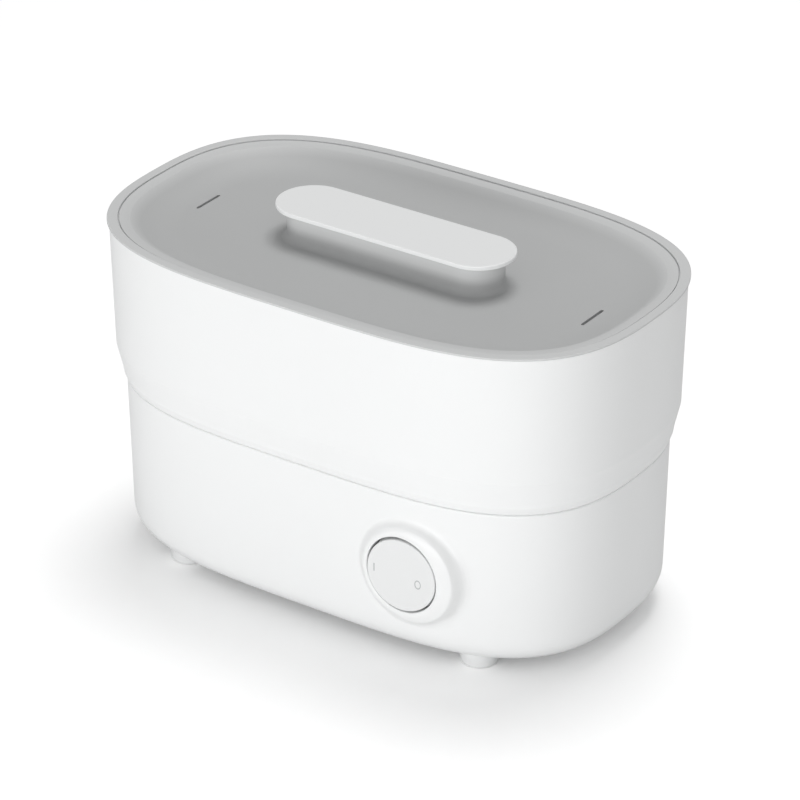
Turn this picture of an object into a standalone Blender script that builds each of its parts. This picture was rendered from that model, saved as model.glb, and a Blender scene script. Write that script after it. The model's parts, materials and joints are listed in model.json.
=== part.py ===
# Electric steam sterilizer: a base with a heating plate, a steam chamber with
# a basket and a tray, and a lid with a handle. Metres, +Z up, front towards -Y.
# The origin is on the floor under the middle of the base.

import math

import bmesh
import bpy
from mathutils import Matrix, Vector

# Overall outline, a superellipse seen from above
LENGTH = 0.280
WIDTH = 0.1688
END_POWER = 3.66
SIDE_POWER = 2.68
OUTLINE_POINTS = 48
INNER_POINTS = 36

# Fits shared by all pieces
GAP = 0.0003
WALL = 0.0025
OVERRUN = 0.002
SEAM = 0.0005
MERGE = 0.00001

# Heights of the outer form, from the floor up
FOOT_DROP = 0.0056
BASE_HEIGHT = 0.0822
LOWER_STEP_HEIGHT = 0.0044
BAND_HEIGHT = 0.0022
UPPER_STEP_HEIGHT = 0.0115
CHAMBER_HEIGHT = 0.0647

# How far each level of the outer form lies inside the lid's edge
CHAMBER_TOP_INSET = 0.0009
CHAMBER_LOW_INSET = 0.00225
BAND_TOP_INSET = 0.0047
BAND_LOW_INSET = 0.0049
BASE_TOP_INSET = 0.0064
BASE_LOW_INSET = 0.0077

# Base housing
EDGE_ROUND = 0.0008
BOTTOM_ROUND_WIDTH = 0.0146
BOTTOM_ROUND_HEIGHT = 0.0137
BOTTOM_ROUND_STEPS = 4
REST_RIM_WIDTH = 0.0127
REBATE_WIDTH = 0.004
LEDGE_WIDTH = 0.0031
LEDGE_THICKNESS = 0.002
LEDGE_DEPTH = 0.0028

# Water tub
TUB_WALL = 0.0023
COLLAR_HEIGHT = 0.0075
TUB_FLANGE = 0.0034
TUB_FLOOR_HEIGHT = 0.0254
TUB_NECK_DEPTH = 0.0033
TUB_SHOULDER_DROP = 0.0035
TUB_DRAFT = 0.0022
TUB_FLOOR_ROUND = 0.0045
TUB_BEND_SHARE = 0.3
POST_RADIUS = 0.004
POST_X_SHARE = 0.314286
POST_X = LENGTH * POST_X_SHARE
POST_Y_SHARE = 0.154028
POST_Y = WIDTH * POST_Y_SHARE

# Bottom cover and its screws
COVER_THICKNESS = 0.0022
COVER_SCREW_HEAD_RADIUS = 0.0034
COVER_SCREW_HEAD = 0.0019
COVER_SCREW_RADIUS = 0.0013
COVER_SCREW_LENGTH = 0.014

# Feet
FOOT_RADIUS = 0.009
FOOT_X_SHARE = 0.299286
FOOT_X = LENGTH * FOOT_X_SHARE
FOOT_Y_SHARE = 0.313981
FOOT_Y = WIDTH * FOOT_Y_SHARE
FOOT_STEM_RADIUS = 0.003
FOOT_STEM_PROUD = 0.0012
FOOT_ROUND = 0.0008

# Heating plate and what clamps it
WELL_CLEAR = 0.0414
WELL_RADIUS = WIDTH / 2 - WELL_CLEAR
WELL_SLOPE = 0.003
WELL_DEPTH = 0.0037
PLATE_THICKNESS = 0.001
PLATE_FLANGE = 0.008
TUB_OPENING_RIM = 0.002
GASKET_THICKNESS = 0.0012
CLAMP_THICKNESS = 0.002
CLAMP_WIDTH = 0.0155
CLAMP_BOSS_RADIUS = 0.004
CLAMP_SCREW_RADIUS = 0.0012
CLAMP_SCREW_HEAD_RADIUS = 0.003
CLAMP_SCREW_HEAD = 0.0015

# Heating element, a tubular ring with two cold ends at the back
ELEMENT_RADIUS = 0.00325
ELEMENT_RING_RADIUS_SHARE = 0.744186
ELEMENT_RING_RADIUS = WELL_RADIUS * ELEMENT_RING_RADIUS_SHARE
ELEMENT_BEND_RADIUS = 0.008
ELEMENT_END_SPREAD = 0.007
ELEMENT_END_REACH_SHARE = 1.162791
ELEMENT_END_REACH = WELL_RADIUS * ELEMENT_END_REACH_SHARE
ELEMENT_RING_POINTS = 22
ELEMENT_BEND_POINTS = 4

# Thermostat, its bracket and the thermal fuse
STAT_FLANGE_RADIUS = 0.009
STAT_FLANGE = 0.0017
STAT_RADIUS = 0.0075
STAT_HEIGHT = 0.0065
STAT_TAB = 0.0032
STAT_TAB_X = 0.004
STAT_TAB_WIDTH = 0.004
STAT_TAB_THICKNESS = 0.0008
STUD_X_SHARE = 0.5625
STUD_X = ELEMENT_RING_RADIUS * STUD_X_SHARE
STUD_RADIUS = 0.0025
BRACKET_THICKNESS = 0.001
BRACKET_HALF_LENGTH_SHARE = 0.6875
BRACKET_HALF_LENGTH = ELEMENT_RING_RADIUS * BRACKET_HALF_LENGTH_SHARE
BRACKET_HALF_WIDTH = 0.006
BRACKET_SCREW_RADIUS = 0.001
BRACKET_SCREW_HEAD_RADIUS = 0.0026
BRACKET_SCREW_HEAD = 0.0014
FUSE_RADIUS = 0.002
FUSE_LENGTH = 0.011
FUSE_SHARE = 0.35443
FUSE_Y = STAT_FLANGE_RADIUS + FUSE_SHARE * (
    ELEMENT_RING_RADIUS - ELEMENT_RADIUS - STAT_FLANGE_RADIUS)

# Switch: collar in the housing, rocker, frame, microswitch and plunger
KNOB_X_SHARE = 0.20893
KNOB_X = LENGTH * KNOB_X_SHARE
KNOB_HEIGHT_SHARE = 0.5365
KNOB_HEIGHT = FOOT_DROP + BASE_HEIGHT * KNOB_HEIGHT_SHARE
COLLAR_PROUD = 0.0052
BORE_RADIUS_SHARE = 0.23114
BORE_RADIUS = BASE_HEIGHT * BORE_RADIUS_SHARE
COLLAR_LIP = 0.0015
COLLAR_SLOPE = 0.0042
COLLAR_SIDE = 0.0065
FLARE_WIDTH = 0.0102
FLARE_DEPTH = 0.0075
FLARE_BEND_SHARE = 0.35
FLARE_STEPS = 4
FLARE_WALL = 0.0024
SKIRT_WALL = 0.0022
SKIRT_DEPTH = 0.0105
ROCKER_PROUD = 0.0006
ROCKER_FIT = 0.0009
ROCKER_THICKNESS = 0.0024
ROCKER_DISH = 0.0005
ROCKER_FACE_SHARES = (0, 0.4, 0.75)
ROCKER_AXIS_DEPTH = 0.0040
ROCKER_SWING = math.radians(5.0)
EAR_THICKNESS = 0.0025
EAR_OFFSET_SHARE = 0.431579
EAR_OFFSET = BORE_RADIUS * EAR_OFFSET_SHARE
EAR_HALF_WIDTH = 0.003
EAR_BEHIND_AXIS = 0.0024
PIN_RADIUS = 0.001
PIN_END_INSIDE = 0.0035
PIN_END = BORE_RADIUS - PIN_END_INSIDE
ARM_START_INSIDE = 0.007
ARM_START = BORE_RADIUS - ARM_START_INSIDE
CUP_WALL = 0.0019
CUP_HEIGHT = 0.0063
ARM_PROUD = 0.0021
FRAME_THICKNESS = 0.0018
FRAME_NOTCH_SHARE = 0.75
STRAP_HALF_WIDTH = 0.005
STRAP_OUTSIDE = 0.008
STRAP_REACH = BORE_RADIUS + STRAP_OUTSIDE
FRAME_SCREW_OUTSIDE = 0.0045
FRAME_SCREW_OFFSET = BORE_RADIUS + FRAME_SCREW_OUTSIDE
FRAME_BOSS_RADIUS = 0.0032
FRAME_SCREW_RADIUS = 0.001
FRAME_SCREW_HEAD_RADIUS = 0.0028
FRAME_SCREW_HEAD = 0.0014
FRAME_SCREW_LENGTH = 0.0032
FRAME_BOSS_HEIGHT = 0.0038
SWITCH_OFFSET = -0.0078
SWITCH_HALF_WIDTH = 0.0032
SWITCH_HALF_LENGTH = 0.009
SWITCH_PROUD = 0.0062
SWITCH_BEHIND = 0.0014
SWITCH_TAB = 0.005
SWITCH_TAB_HALF_WIDTH = 0.0014
SWITCH_TAB_THICKNESS = 0.0006
SWITCH_TAB_OFFSET = 0.00175
PLUNGER_RADIUS = 0.0012
PLUNGER_HOLE_DEPTH = 0.004
PLUNGER_SUNK = 0.0026
LUG_LENGTH = 0.0009
LUG_RADIUS = 0.0016
TUB_SWITCH_CLEAR = 0.0007

# Cord gland at the back and the terminal block behind it
GLAND_X_SHARE = -0.221429
GLAND_X = LENGTH * GLAND_X_SHARE
GLAND_HEIGHT = 0.023
GLAND_PAD_RADIUS = 0.0115
GLAND_PAD_PROUD = 0.0008
GLAND_PAD_DEPTH = 0.0060
GLAND_FLANGE_RADIUS = 0.009
GLAND_FLANGE = 0.0025
GLAND_RADIUS = 0.006
GLAND_BORE = 0.004
GLAND_REACH = 0.005
GLAND_NUT_RADIUS = 0.0095
GLAND_NUT = 0.003
BLOCK_X_SHARE = -0.214286
BLOCK_X = LENGTH * BLOCK_X_SHARE
BLOCK_Y_SHARE = 0.159953
BLOCK_Y = WIDTH * BLOCK_Y_SHARE
BLOCK_HALF_LENGTH = 0.015
BLOCK_HALF_WIDTH = 0.008
BLOCK_HEIGHT = 0.011
BLOCK_PITCH = 0.0085
BLOCK_SCREW_WELL_RADIUS = 0.0024
BLOCK_SCREW_WELL = 0.003

# Wires, with their way points in plan as shares of the clamp ring's radius
WIRE_RADIUS = 0.0011
WIRE_STEP = 0.0068
WIRE_LAY = 0.0135
WIRE_LEAD = 0.0045
LIVE_ROUTE_SHARES = [
    (-1.09, 0.05), (-0.95, -0.35), (-0.68, -0.70), (-0.16, -0.91), (0.46, -0.98), (0.70, -1.03)]
SWITCHED_ROUTE_SHARES = [(0.81, -0.88), (0.68, -0.62), (0.36, -0.30)]
FUSED_ROUTE_SHARES = [(0.24, 0.42), (0.25, 0.70)]
NEUTRAL_ROUTE_SHARES = [(-0.45, 0.84), (-0.66, 0.58), (-0.66, 0.30), (-0.72, 0.18)]
EARTH_ROUTE_SHARES = [(-0.90, 0.08), (-0.60, -0.04), (-0.40, -0.03)]

# Steam chamber
LID_RIM_THICKNESS = 0.001
CHAMBER_LEDGE_THICKNESS = 0.002
CHAMBER_LEDGE_WIDTH = 0.0043
TRAY_LEDGE_DEPTH = 0.0180
TRAY_LEDGE_WIDTH = 0.0030
TRAY_LEDGE_THICKNESS = 0.0018

# Bottle basket
BASKET_CLEAR = 0.0010
BASKET_WALL = 0.0018
BASKET_FLANGE_THICKNESS = 0.0018
BASKET_FLANGE_CLEAR = 0.0008
BASKET_FLOOR_LIFT = 0.008
BASKET_FLOOR = 0.002
BASKET_FLOOR_ROUND = 0.0022
SLOT_WIDTH = 0.0038
SLOT_LENGTH_SHARE = 0.154028
SLOT_LENGTH = WIDTH * SLOT_LENGTH_SHARE
FLOOR_SLOTS = 8
FLOOR_SLOT_PITCH_SHARE = 0.078571
FLOOR_SLOT_PITCH = LENGTH * FLOOR_SLOT_PITCH_SHARE
FLOOR_SLOT_Y_SHARE = 0.12737
FLOOR_SLOT_Y = WIDTH * FLOOR_SLOT_Y_SHARE
PEG_COLUMNS = 3
PEG_PITCH_SHARE = 0.25
PEG_PITCH = LENGTH * PEG_PITCH_SHARE
PEG_Y_SHARE = 0.165877
PEG_Y = WIDTH * PEG_Y_SHARE
PEG_RADIUS = 0.0042
PEG_TIP_RADIUS = 0.0022
PEG_HEIGHT = 0.026
WALL_SLOTS = 6
WALL_SLOT_PITCH_SHARE = 0.107143
WALL_SLOT_PITCH = LENGTH * WALL_SLOT_PITCH_SHARE
WALL_SLOT_LOW = 0.012
WALL_SLOT_HIGH = 0.040

# Accessory tray
TRAY_CLEAR = 0.0008
TRAY_WALL = 0.0016
TRAY_FLANGE_THICKNESS = 0.0016
TRAY_DEPTH = 0.028
TRAY_DRAFT = 0.0040
TRAY_FLOOR = 0.0018
TRAY_FLOOR_ROUND = 0.003
TRAY_SLOT_LENGTH_SHARE = 0.177725
TRAY_SLOT_LENGTH = WIDTH * TRAY_SLOT_LENGTH_SHARE
TRAY_SLOT_Y_SHARE = 0.171801
TRAY_SLOT_Y = WIDTH * TRAY_SLOT_Y_SHARE
TRAY_SLOTS = 8
TRAY_SLOT_PITCH_SHARE = 0.085714
TRAY_SLOT_PITCH = LENGTH * TRAY_SLOT_PITCH_SHARE
GRIP_HALF_WIDTH = 0.014
GRIP_HEIGHT = 0.0045
GRIP_THICKNESS = 0.0018

# Lid
LID_RIM_WIDTH = 0.0046
LID_EDGE = 0.0003
LID_DEPTH = 0.0088
LID_BAND_DEPTH = 0.0013
LID_BAND_WIDTH = 0.0053
LID_DISH_WIDTH = 0.021
LID_DISH_SHARES = (0.12, 0.35, 0.65)
LID_WALL = 0.0022
LID_SKIRT_FIT = 0.0004
LID_SKIRT_WALL = 0.0018
LID_SKIRT_DEPTH = 0.0100
LID_SKIRT_DRAFT = 0.0004
SLIT_X_SHARE = 0.385714
SLIT_X = LENGTH * SLIT_X_SHARE
SLIT_HALF_LENGTH = 0.009
SLIT_HALF_WIDTH = 0.0008
PEDESTAL_HALF_LENGTH_SHARE = 0.208929
PEDESTAL_HALF_LENGTH = LENGTH * PEDESTAL_HALF_LENGTH_SHARE
PEDESTAL_HALF_WIDTH_SHARE = 0.082938
PEDESTAL_HALF_WIDTH = WIDTH * PEDESTAL_HALF_WIDTH_SHARE
PEDESTAL_FILLET = 0.003
PEDESTAL_FILLET_SHARES = (0, 1 / 3, 2 / 3, 1)
PEDESTAL_ABOVE_RIM = 0.0058
STADIUM_ARC_POINTS = 8

# Handle plate and its screws
PLATE_HALF_LENGTH_SHARE = 0.228571
PLATE_HALF_LENGTH = LENGTH * PLATE_HALF_LENGTH_SHARE
PLATE_HALF_WIDTH_SHARE = 0.106635
PLATE_HALF_WIDTH = WIDTH * PLATE_HALF_WIDTH_SHARE
HANDLE_THICKNESS = 0.0020
HANDLE_EDGE = 0.0005
HANDLE_EDGE_SHARES = ((0, 1), (0.35, 0.3), (1.4, 0))
HANDLE_POST_X_SHARE = 0.142857
HANDLE_POST_X = LENGTH * HANDLE_POST_X_SHARE
HANDLE_POST_RADIUS = 0.0035
HANDLE_SCREW_RADIUS = 0.0013
HANDLE_SCREW_HEAD_RADIUS = 0.005
HANDLE_SCREW_HEAD = 0.0018
HANDLE_PILOT_DEPTH = 0.0036

# Screw heads: where the side ends, how wide the top is
HEAD_SIDE_SHARE = 0.45
HEAD_TOP_SHARE = 0.72

# Round pieces
FINE_SIDES = 36
MEDIUM_SIDES = 16
COARSE_SIDES = 10

# Levels that follow from the heights above
BASE_BOTTOM_Z = FOOT_DROP
BASE_TOP_Z = BASE_BOTTOM_Z + BASE_HEIGHT
CHAMBER_BOTTOM_Z = BASE_TOP_Z + SEAM
BAND_LOW_Z = BASE_TOP_Z + LOWER_STEP_HEIGHT
BAND_TOP_Z = BAND_LOW_Z + BAND_HEIGHT
CHAMBER_LOW_Z = BAND_TOP_Z + UPPER_STEP_HEIGHT
RIM_Z = CHAMBER_LOW_Z + CHAMBER_HEIGHT
CHAMBER_TOP_Z = RIM_Z - LID_RIM_THICKNESS - GAP
BOTTOM_ROUND_Z = BASE_BOTTOM_Z + BOTTOM_ROUND_HEIGHT
COLLAR_TOP_Z = BASE_TOP_Z + COLLAR_HEIGHT
TUB_FLOOR_UNDER_Z = BASE_BOTTOM_Z + TUB_FLOOR_HEIGHT - TUB_WALL
TUB_FLOOR_Z = BASE_BOTTOM_Z + TUB_FLOOR_HEIGHT
BASKET_FLOOR_UNDER_Z = TUB_FLOOR_Z + BASKET_FLOOR_LIFT
BASKET_FLOOR_Z = BASKET_FLOOR_UNDER_Z + BASKET_FLOOR
COVER_TOP_Z = BASE_BOTTOM_Z + GAP + COVER_THICKNESS
LID_FLOOR_Z = RIM_Z - LID_DEPTH
PEDESTAL_TOP_Z = RIM_Z + PEDESTAL_ABOVE_RIM

# Colours of the materials, linear red, green and blue
WHITE = (0.86, 0.87, 0.87)
WARM_WHITE = (0.82, 0.82, 0.81)
GREY = (0.36, 0.38, 0.37)
NATURAL = (0.78, 0.80, 0.82)
STEEL = (0.60, 0.60, 0.60)
ZINC = (0.55, 0.56, 0.58)
BLACK = (0.03, 0.03, 0.03)
SILICONE = (0.55, 0.56, 0.57)
FOOT_WHITE = (0.75, 0.76, 0.76)
BROWN = (0.22, 0.08, 0.03)
BLUE = (0.03, 0.10, 0.40)
RED = (0.45, 0.03, 0.03)
GREEN = (0.20, 0.40, 0.05)


# Scene, collections and materials

def clear_scene():
    for item in list(bpy.data.objects):
        bpy.data.objects.remove(item)


def new_collection(name):
    group = bpy.data.collections.new(name)
    bpy.context.scene.collection.children.link(group)
    return group


clear_scene()
PARTS = new_collection("electric_steam_sterilizer")
CUTTERS = new_collection("cutters")


def material(name, colour, roughness, metallic=0):
    made = bpy.data.materials.new(name)
    made.use_nodes = True
    shader = made.node_tree.nodes["Principled BSDF"]
    shader.inputs["Base Color"].default_value = (*colour, 1)
    shader.inputs["Roughness"].default_value = roughness
    shader.inputs["Metallic"].default_value = metallic
    return made


# Outlines seen from above

def outline(inset, count=OUTLINE_POINTS):
    half_length = LENGTH / 2 - inset
    half_width = WIDTH / 2 - inset
    points = []
    for index in range(count):
        turn = math.tau * index / count
        across = math.cos(turn)
        along = math.sin(turn)
        x = half_length * math.copysign(abs(across) ** (2 / END_POWER), across)
        y = half_width * math.copysign(abs(along) ** (2 / SIDE_POWER), along)
        points.append((x, y))
    return points


def stadium(half_length, half_width):
    straight = half_length - half_width
    points = []
    for side in (1, -1):
        for index in range(STADIUM_ARC_POINTS + 1):
            turn = math.pi * (index / STADIUM_ARC_POINTS - 1 / 2)
            x = side * (straight + half_width * math.cos(turn))
            points.append((x, side * half_width * math.sin(turn)))
    return points


def front_at(x, inset):
    # distance of the outline in front of the middle, at one place along it
    half_length = LENGTH / 2 - inset
    half_width = WIDTH / 2 - inset
    rest = 1 - (abs(x) / half_length) ** END_POWER
    return half_width * rest ** (1 / SIDE_POWER)


def inset_for_front(x, distance):
    # the inset at which the outline lies that far in front of the middle
    inset = WIDTH / 2 - distance
    for _ in range(12):
        inset += front_at(x, inset) - distance
    return inset


def level(z, profile):
    # inset of a wall at one height, read from its profile of (inset, z) pairs
    ordered = sorted(profile, key=lambda pair: pair[1])
    for low, high in zip(ordered, ordered[1:]):
        if low[1] <= z <= high[1] and high[1] > low[1]:
            share = (z - low[1]) / (high[1] - low[1])
            return low[0] + share * (high[0] - low[0])
    return ordered[0][0] if z < ordered[0][1] else ordered[-1][0]


# Solids

def loft_mesh(sections, closed):
    # sections are pairs of an outline and a height, closed makes a ring
    bm = bmesh.new()
    count = len(sections[0][0])
    ring = bmesh.ops.create_circle(bm, cap_ends=False, radius=1, segments=count)["verts"]
    place_ring(ring, *sections[0])
    first_edges = list(bm.edges)
    edges = first_edges
    for points, z in sections[1:]:
        made = bmesh.ops.extrude_edge_only(bm, edges=edges)["geom"]
        fresh = {item for item in made if isinstance(item, bmesh.types.BMVert)}
        ring = [next(e.other_vert(v) for e in v.link_edges if e.other_vert(v) in fresh) for v in ring]
        place_ring(ring, points, z)
        edges = [bm.edges.get((ring[i - 1], ring[i])) for i in range(count)]
    if closed:
        bmesh.ops.bridge_loops(bm, edges=first_edges + edges)
    else:
        bmesh.ops.contextual_create(bm, geom=first_edges)
        bmesh.ops.contextual_create(bm, geom=edges)
    bmesh.ops.recalc_face_normals(bm, faces=bm.faces)
    return bm


def place_ring(ring, points, z):
    for vertex, (x, y) in zip(ring, points):
        vertex.co = (x, y, z)


def add_object(name, bm, finish=None, group=None, smooth=True):
    mesh = bpy.data.meshes.new(name)
    bm.to_mesh(mesh)
    bm.free()
    item = bpy.data.objects.new(name, mesh)
    (group or PARTS).objects.link(item)
    if finish:
        mesh.materials.append(finish)
    if smooth:
        mesh.shade_smooth()
        mesh.set_sharp_from_angle(angle=math.radians(35))
    if group is CUTTERS:
        item.hide_render = True
        item.display_type = "WIRE"
    return item


def loft(name, sections, finish=None, closed=False, group=None):
    return add_object(name, loft_mesh(sections, closed), finish, group)


def shell_sections(profile, count=OUTLINE_POINTS):
    return [(outline(inset, count), z) for inset, z in profile]


def add_box(bm, x, y, z):
    # x, y and z are each a pair of limits
    size = Vector((x[1] - x[0], y[1] - y[0], z[1] - z[0]))
    centre = Vector((x[0] + x[1], y[0] + y[1], z[0] + z[1])) / 2
    matrix = Matrix.Translation(centre) @ Matrix.Diagonal((*size, 1))
    bmesh.ops.create_cube(bm, size=1, matrix=matrix)


def add_cylinder(bm, x, y, z, radius, top_radius=None, sides=MEDIUM_SIDES):
    # z is a pair of limits, a second radius makes a taper
    matrix = Matrix.Translation((x, y, (z[0] + z[1]) / 2))
    upper = radius if top_radius is None else top_radius
    bmesh.ops.create_cone(
        bm, cap_ends=True, segments=sides, radius1=radius, radius2=upper,
        depth=z[1] - z[0], matrix=matrix)


def turned(name, profile, finish=None, sides=FINE_SIDES, ring=False, group=None):
    # profile runs down the outer side as (radius, z) pairs, a ring closes on itself
    bm = bmesh.new()
    verts = [bm.verts.new((radius, 0, z)) for radius, z in profile]
    for first, second in zip(verts, verts[1:]):
        bm.edges.new((first, second))
    if ring:
        bm.edges.new((verts[-1], verts[0]))
    item = add_object(name, bm, finish, group, smooth=False)
    screw = item.modifiers.new("turn", "SCREW")
    screw.steps = sides
    screw.render_steps = sides
    screw.use_merge_vertices = True
    screw.merge_threshold = MERGE
    screw.use_smooth_shade = True
    return item


def boolean(item, tool, operation="DIFFERENCE"):
    step = item.modifiers.new(tool.name, "BOOLEAN")
    step.operation = operation
    step.object = tool
    return step


def cut(item, bm):
    return boolean(item, add_object(item.name + "_cut", bm, None, CUTTERS, smooth=False))


def join(item, bm):
    tool = add_object(item.name + "_join", bm, None, CUTTERS, smooth=False)
    return boolean(item, tool, "UNION")


def hold(items, pivot):
    # items keep their place while the empty becomes their parent
    for item in items:
        item.parent = pivot
        item.matrix_parent_inverse = pivot.matrix_world.inverted()


def new_pivot(name, location, parent=None):
    pivot = bpy.data.objects.new(name, None)
    pivot.location = location
    PARTS.objects.link(pivot)
    bpy.context.view_layer.update()
    if parent:
        hold([pivot], parent)
    return pivot


def screw_profile(head_radius, head, radius, length):
    # a pan head at the bottom with its flat side at height zero, the shank above
    return [
        (0, length), (radius, length), (radius, 0), (head_radius, 0),
        (head_radius, -head * HEAD_SIDE_SHARE), (head_radius * HEAD_TOP_SHARE, -head), (0, -head)]


# Outer profiles, which the inner pieces take their fits from

CHAMBER_OUTER = [
    (CHAMBER_TOP_INSET, CHAMBER_TOP_Z),
    (CHAMBER_LOW_INSET, CHAMBER_LOW_Z),
    (BAND_TOP_INSET, BAND_TOP_Z),
    (BAND_LOW_INSET, BAND_LOW_Z),
    (BASE_TOP_INSET, CHAMBER_BOTTOM_Z)]

COLLAR_INSET = BASE_TOP_INSET + WALL + GAP
COLLAR_INNER_INSET = COLLAR_INSET + TUB_WALL
LEDGE_TOP_Z = BASE_TOP_Z - LEDGE_DEPTH
LEDGE_INNER_INSET = BASE_TOP_INSET + WALL + LEDGE_WIDTH
TUB_SEAT_Z = LEDGE_TOP_Z + GAP
TUB_NECK_INSET = COLLAR_INSET + TUB_FLANGE
TUB_NECK_Z = TUB_SEAT_Z - TUB_NECK_DEPTH
COLLAR_FRONT = front_at(KNOB_X, BASE_LOW_INSET) + COLLAR_PROUD
FRAME_SEAT = COLLAR_FRONT - SKIRT_DEPTH
FRAME_FRONT = FRAME_SEAT - GAP
FRAME_BACK = FRAME_FRONT - FRAME_THICKNESS
TUB_FRONT = FRAME_BACK - GAP - FRAME_SCREW_HEAD - TUB_SWITCH_CLEAR
TUB_SHOULDER_INSET = inset_for_front(KNOB_X, TUB_FRONT)
TUB_LOW_INSET = TUB_SHOULDER_INSET + TUB_DRAFT
TUB_SHOULDER_Z = TUB_NECK_Z - TUB_SHOULDER_DROP

TUB_INNER = [
    (COLLAR_INNER_INSET, COLLAR_TOP_Z),
    (COLLAR_INNER_INSET, TUB_SEAT_Z + TUB_WALL),
    (TUB_NECK_INSET + TUB_WALL, TUB_SEAT_Z),
    (TUB_NECK_INSET + TUB_WALL, TUB_NECK_Z + GAP),
    (TUB_SHOULDER_INSET + TUB_WALL, TUB_SHOULDER_Z + GAP),
    (TUB_LOW_INSET + TUB_WALL, TUB_FLOOR_Z + TUB_FLOOR_ROUND)]


def base_housing(finish):
    low = BASE_BOTTOM_Z
    rest_end = BASE_LOW_INSET + BOTTOM_ROUND_WIDTH + REST_RIM_WIDTH
    rebate_z = COVER_TOP_Z + GAP
    flange_z = rebate_z + COVER_THICKNESS
    profile = [(BASE_TOP_INSET + EDGE_ROUND, BASE_TOP_Z), (BASE_TOP_INSET, BASE_TOP_Z - EDGE_ROUND)]
    inner = []
    for index in range(BOTTOM_ROUND_STEPS + 1):
        turn = math.pi / 2 * index / BOTTOM_ROUND_STEPS
        inward = 1 - math.cos(turn)
        down = 1 - math.sin(turn)
        profile.append((BASE_LOW_INSET + BOTTOM_ROUND_WIDTH * inward, low + BOTTOM_ROUND_HEIGHT * down))
        width = BOTTOM_ROUND_WIDTH - WALL
        height = BOTTOM_ROUND_HEIGHT - WALL
        inner.append((BASE_LOW_INSET + WALL + width * inward, low + WALL + height * down))
    profile += [
        (rest_end, low), (rest_end, rebate_z), (rest_end + REBATE_WIDTH, rebate_z),
        (rest_end + REBATE_WIDTH, flange_z), (rest_end - WALL, flange_z), (rest_end - 2 * WALL, low + WALL)]
    profile += reversed(inner)
    profile += [
        (BASE_TOP_INSET + WALL, LEDGE_TOP_Z - LEDGE_THICKNESS - LEDGE_WIDTH),
        (LEDGE_INNER_INSET, LEDGE_TOP_Z - LEDGE_THICKNESS),
        (LEDGE_INNER_INSET, LEDGE_TOP_Z), (BASE_TOP_INSET + WALL, LEDGE_TOP_Z),
        (BASE_TOP_INSET + WALL, BASE_TOP_Z)]
    item = loft("base_housing", shell_sections(profile), finish, closed=True)
    boolean(item, switch_collar(), "UNION")
    boolean(item, gland_pad(), "UNION")
    bores = bmesh.new()
    for x in (FOOT_X, -FOOT_X):
        for y in (FOOT_Y, -FOOT_Y):
            add_cylinder(bores, x, y, (low - WALL, flange_z), FOOT_STEM_RADIUS + GAP, sides=COARSE_SIDES)
    cut(item, bores)
    boolean(item, switch_bores())
    boolean(item, gland_bore())
    return item


# Switch group, built round its own axis, which points out of the front

def to_front(item):
    item.location = (KNOB_X, 0, KNOB_HEIGHT)
    item.rotation_euler = (math.pi / 2, 0, 0)
    return item


def switch_collar():
    lip = BORE_RADIUS + COLLAR_LIP
    foot = lip + COLLAR_SLOPE
    side_z = COLLAR_FRONT - COLLAR_SIDE
    profile = [(BORE_RADIUS - OVERRUN, COLLAR_FRONT), (lip - EDGE_ROUND, COLLAR_FRONT)]
    profile += [(lip, COLLAR_FRONT - EDGE_ROUND / 2), (foot, side_z)]
    for index in range(1, FLARE_STEPS + 1):
        share = index / FLARE_STEPS
        fall = FLARE_DEPTH * share * (1 + FLARE_BEND_SHARE * (1 - share))
        profile.append((foot + FLARE_WIDTH * share, side_z - fall))
    back = side_z - FLARE_DEPTH - FLARE_WALL
    profile += [(foot + FLARE_WIDTH, back), (BORE_RADIUS - OVERRUN, back)]
    collar = turned("switch_collar_join", profile, sides=FINE_SIDES, ring=True, group=CUTTERS)
    behind = [
        (BASE_LOW_INSET + WALL / 2, BASE_BOTTOM_Z), (BASE_LOW_INSET + WALL / 2, BOTTOM_ROUND_Z),
        (BASE_TOP_INSET + WALL / 2, BASE_TOP_Z)]
    boolean(collar, loft("collar_back_cut", shell_sections(behind), group=CUTTERS))
    skirt_outer = BORE_RADIUS + SKIRT_WALL
    skirt_inner = BORE_RADIUS - OVERRUN
    skirt_top = COLLAR_FRONT - COLLAR_LIP
    skirt = turned("switch_skirt_join", [
        (skirt_outer, skirt_top), (skirt_outer, FRAME_SEAT),
        (skirt_inner, FRAME_SEAT), (skirt_inner, skirt_top)], ring=True, group=CUTTERS)
    boolean(collar, to_front(skirt), "UNION")
    bosses = bmesh.new()
    for side in (1, -1):
        add_cylinder(
            bosses, 0, side * FRAME_SCREW_OFFSET, (FRAME_SEAT, FRAME_SEAT + FRAME_BOSS_HEIGHT),
            FRAME_BOSS_RADIUS, sides=COARSE_SIDES)
    boolean(collar, to_front(add_object("frame_bosses_join", bosses, None, CUTTERS)), "UNION")
    return to_front(collar)


def switch_bores():
    bm = bmesh.new()
    add_cylinder(
        bm, 0, 0, (FRAME_SEAT - OVERRUN, COLLAR_FRONT + OVERRUN), BORE_RADIUS, sides=FINE_SIDES)
    # half a side's turn keeps the bore's corners off the collar's own edges
    turn = Matrix.Rotation(math.pi / FINE_SIDES, 3, "Z")
    bmesh.ops.rotate(bm, verts=bm.verts, matrix=turn)
    for side in (1, -1):
        add_cylinder(
            bm, 0, side * FRAME_SCREW_OFFSET, (FRAME_SEAT - OVERRUN, FRAME_SEAT + FRAME_SCREW_LENGTH),
            FRAME_SCREW_RADIUS + GAP, sides=COARSE_SIDES)
    return to_front(add_object("switch_bores_cut", bm, None, CUTTERS))


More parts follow.
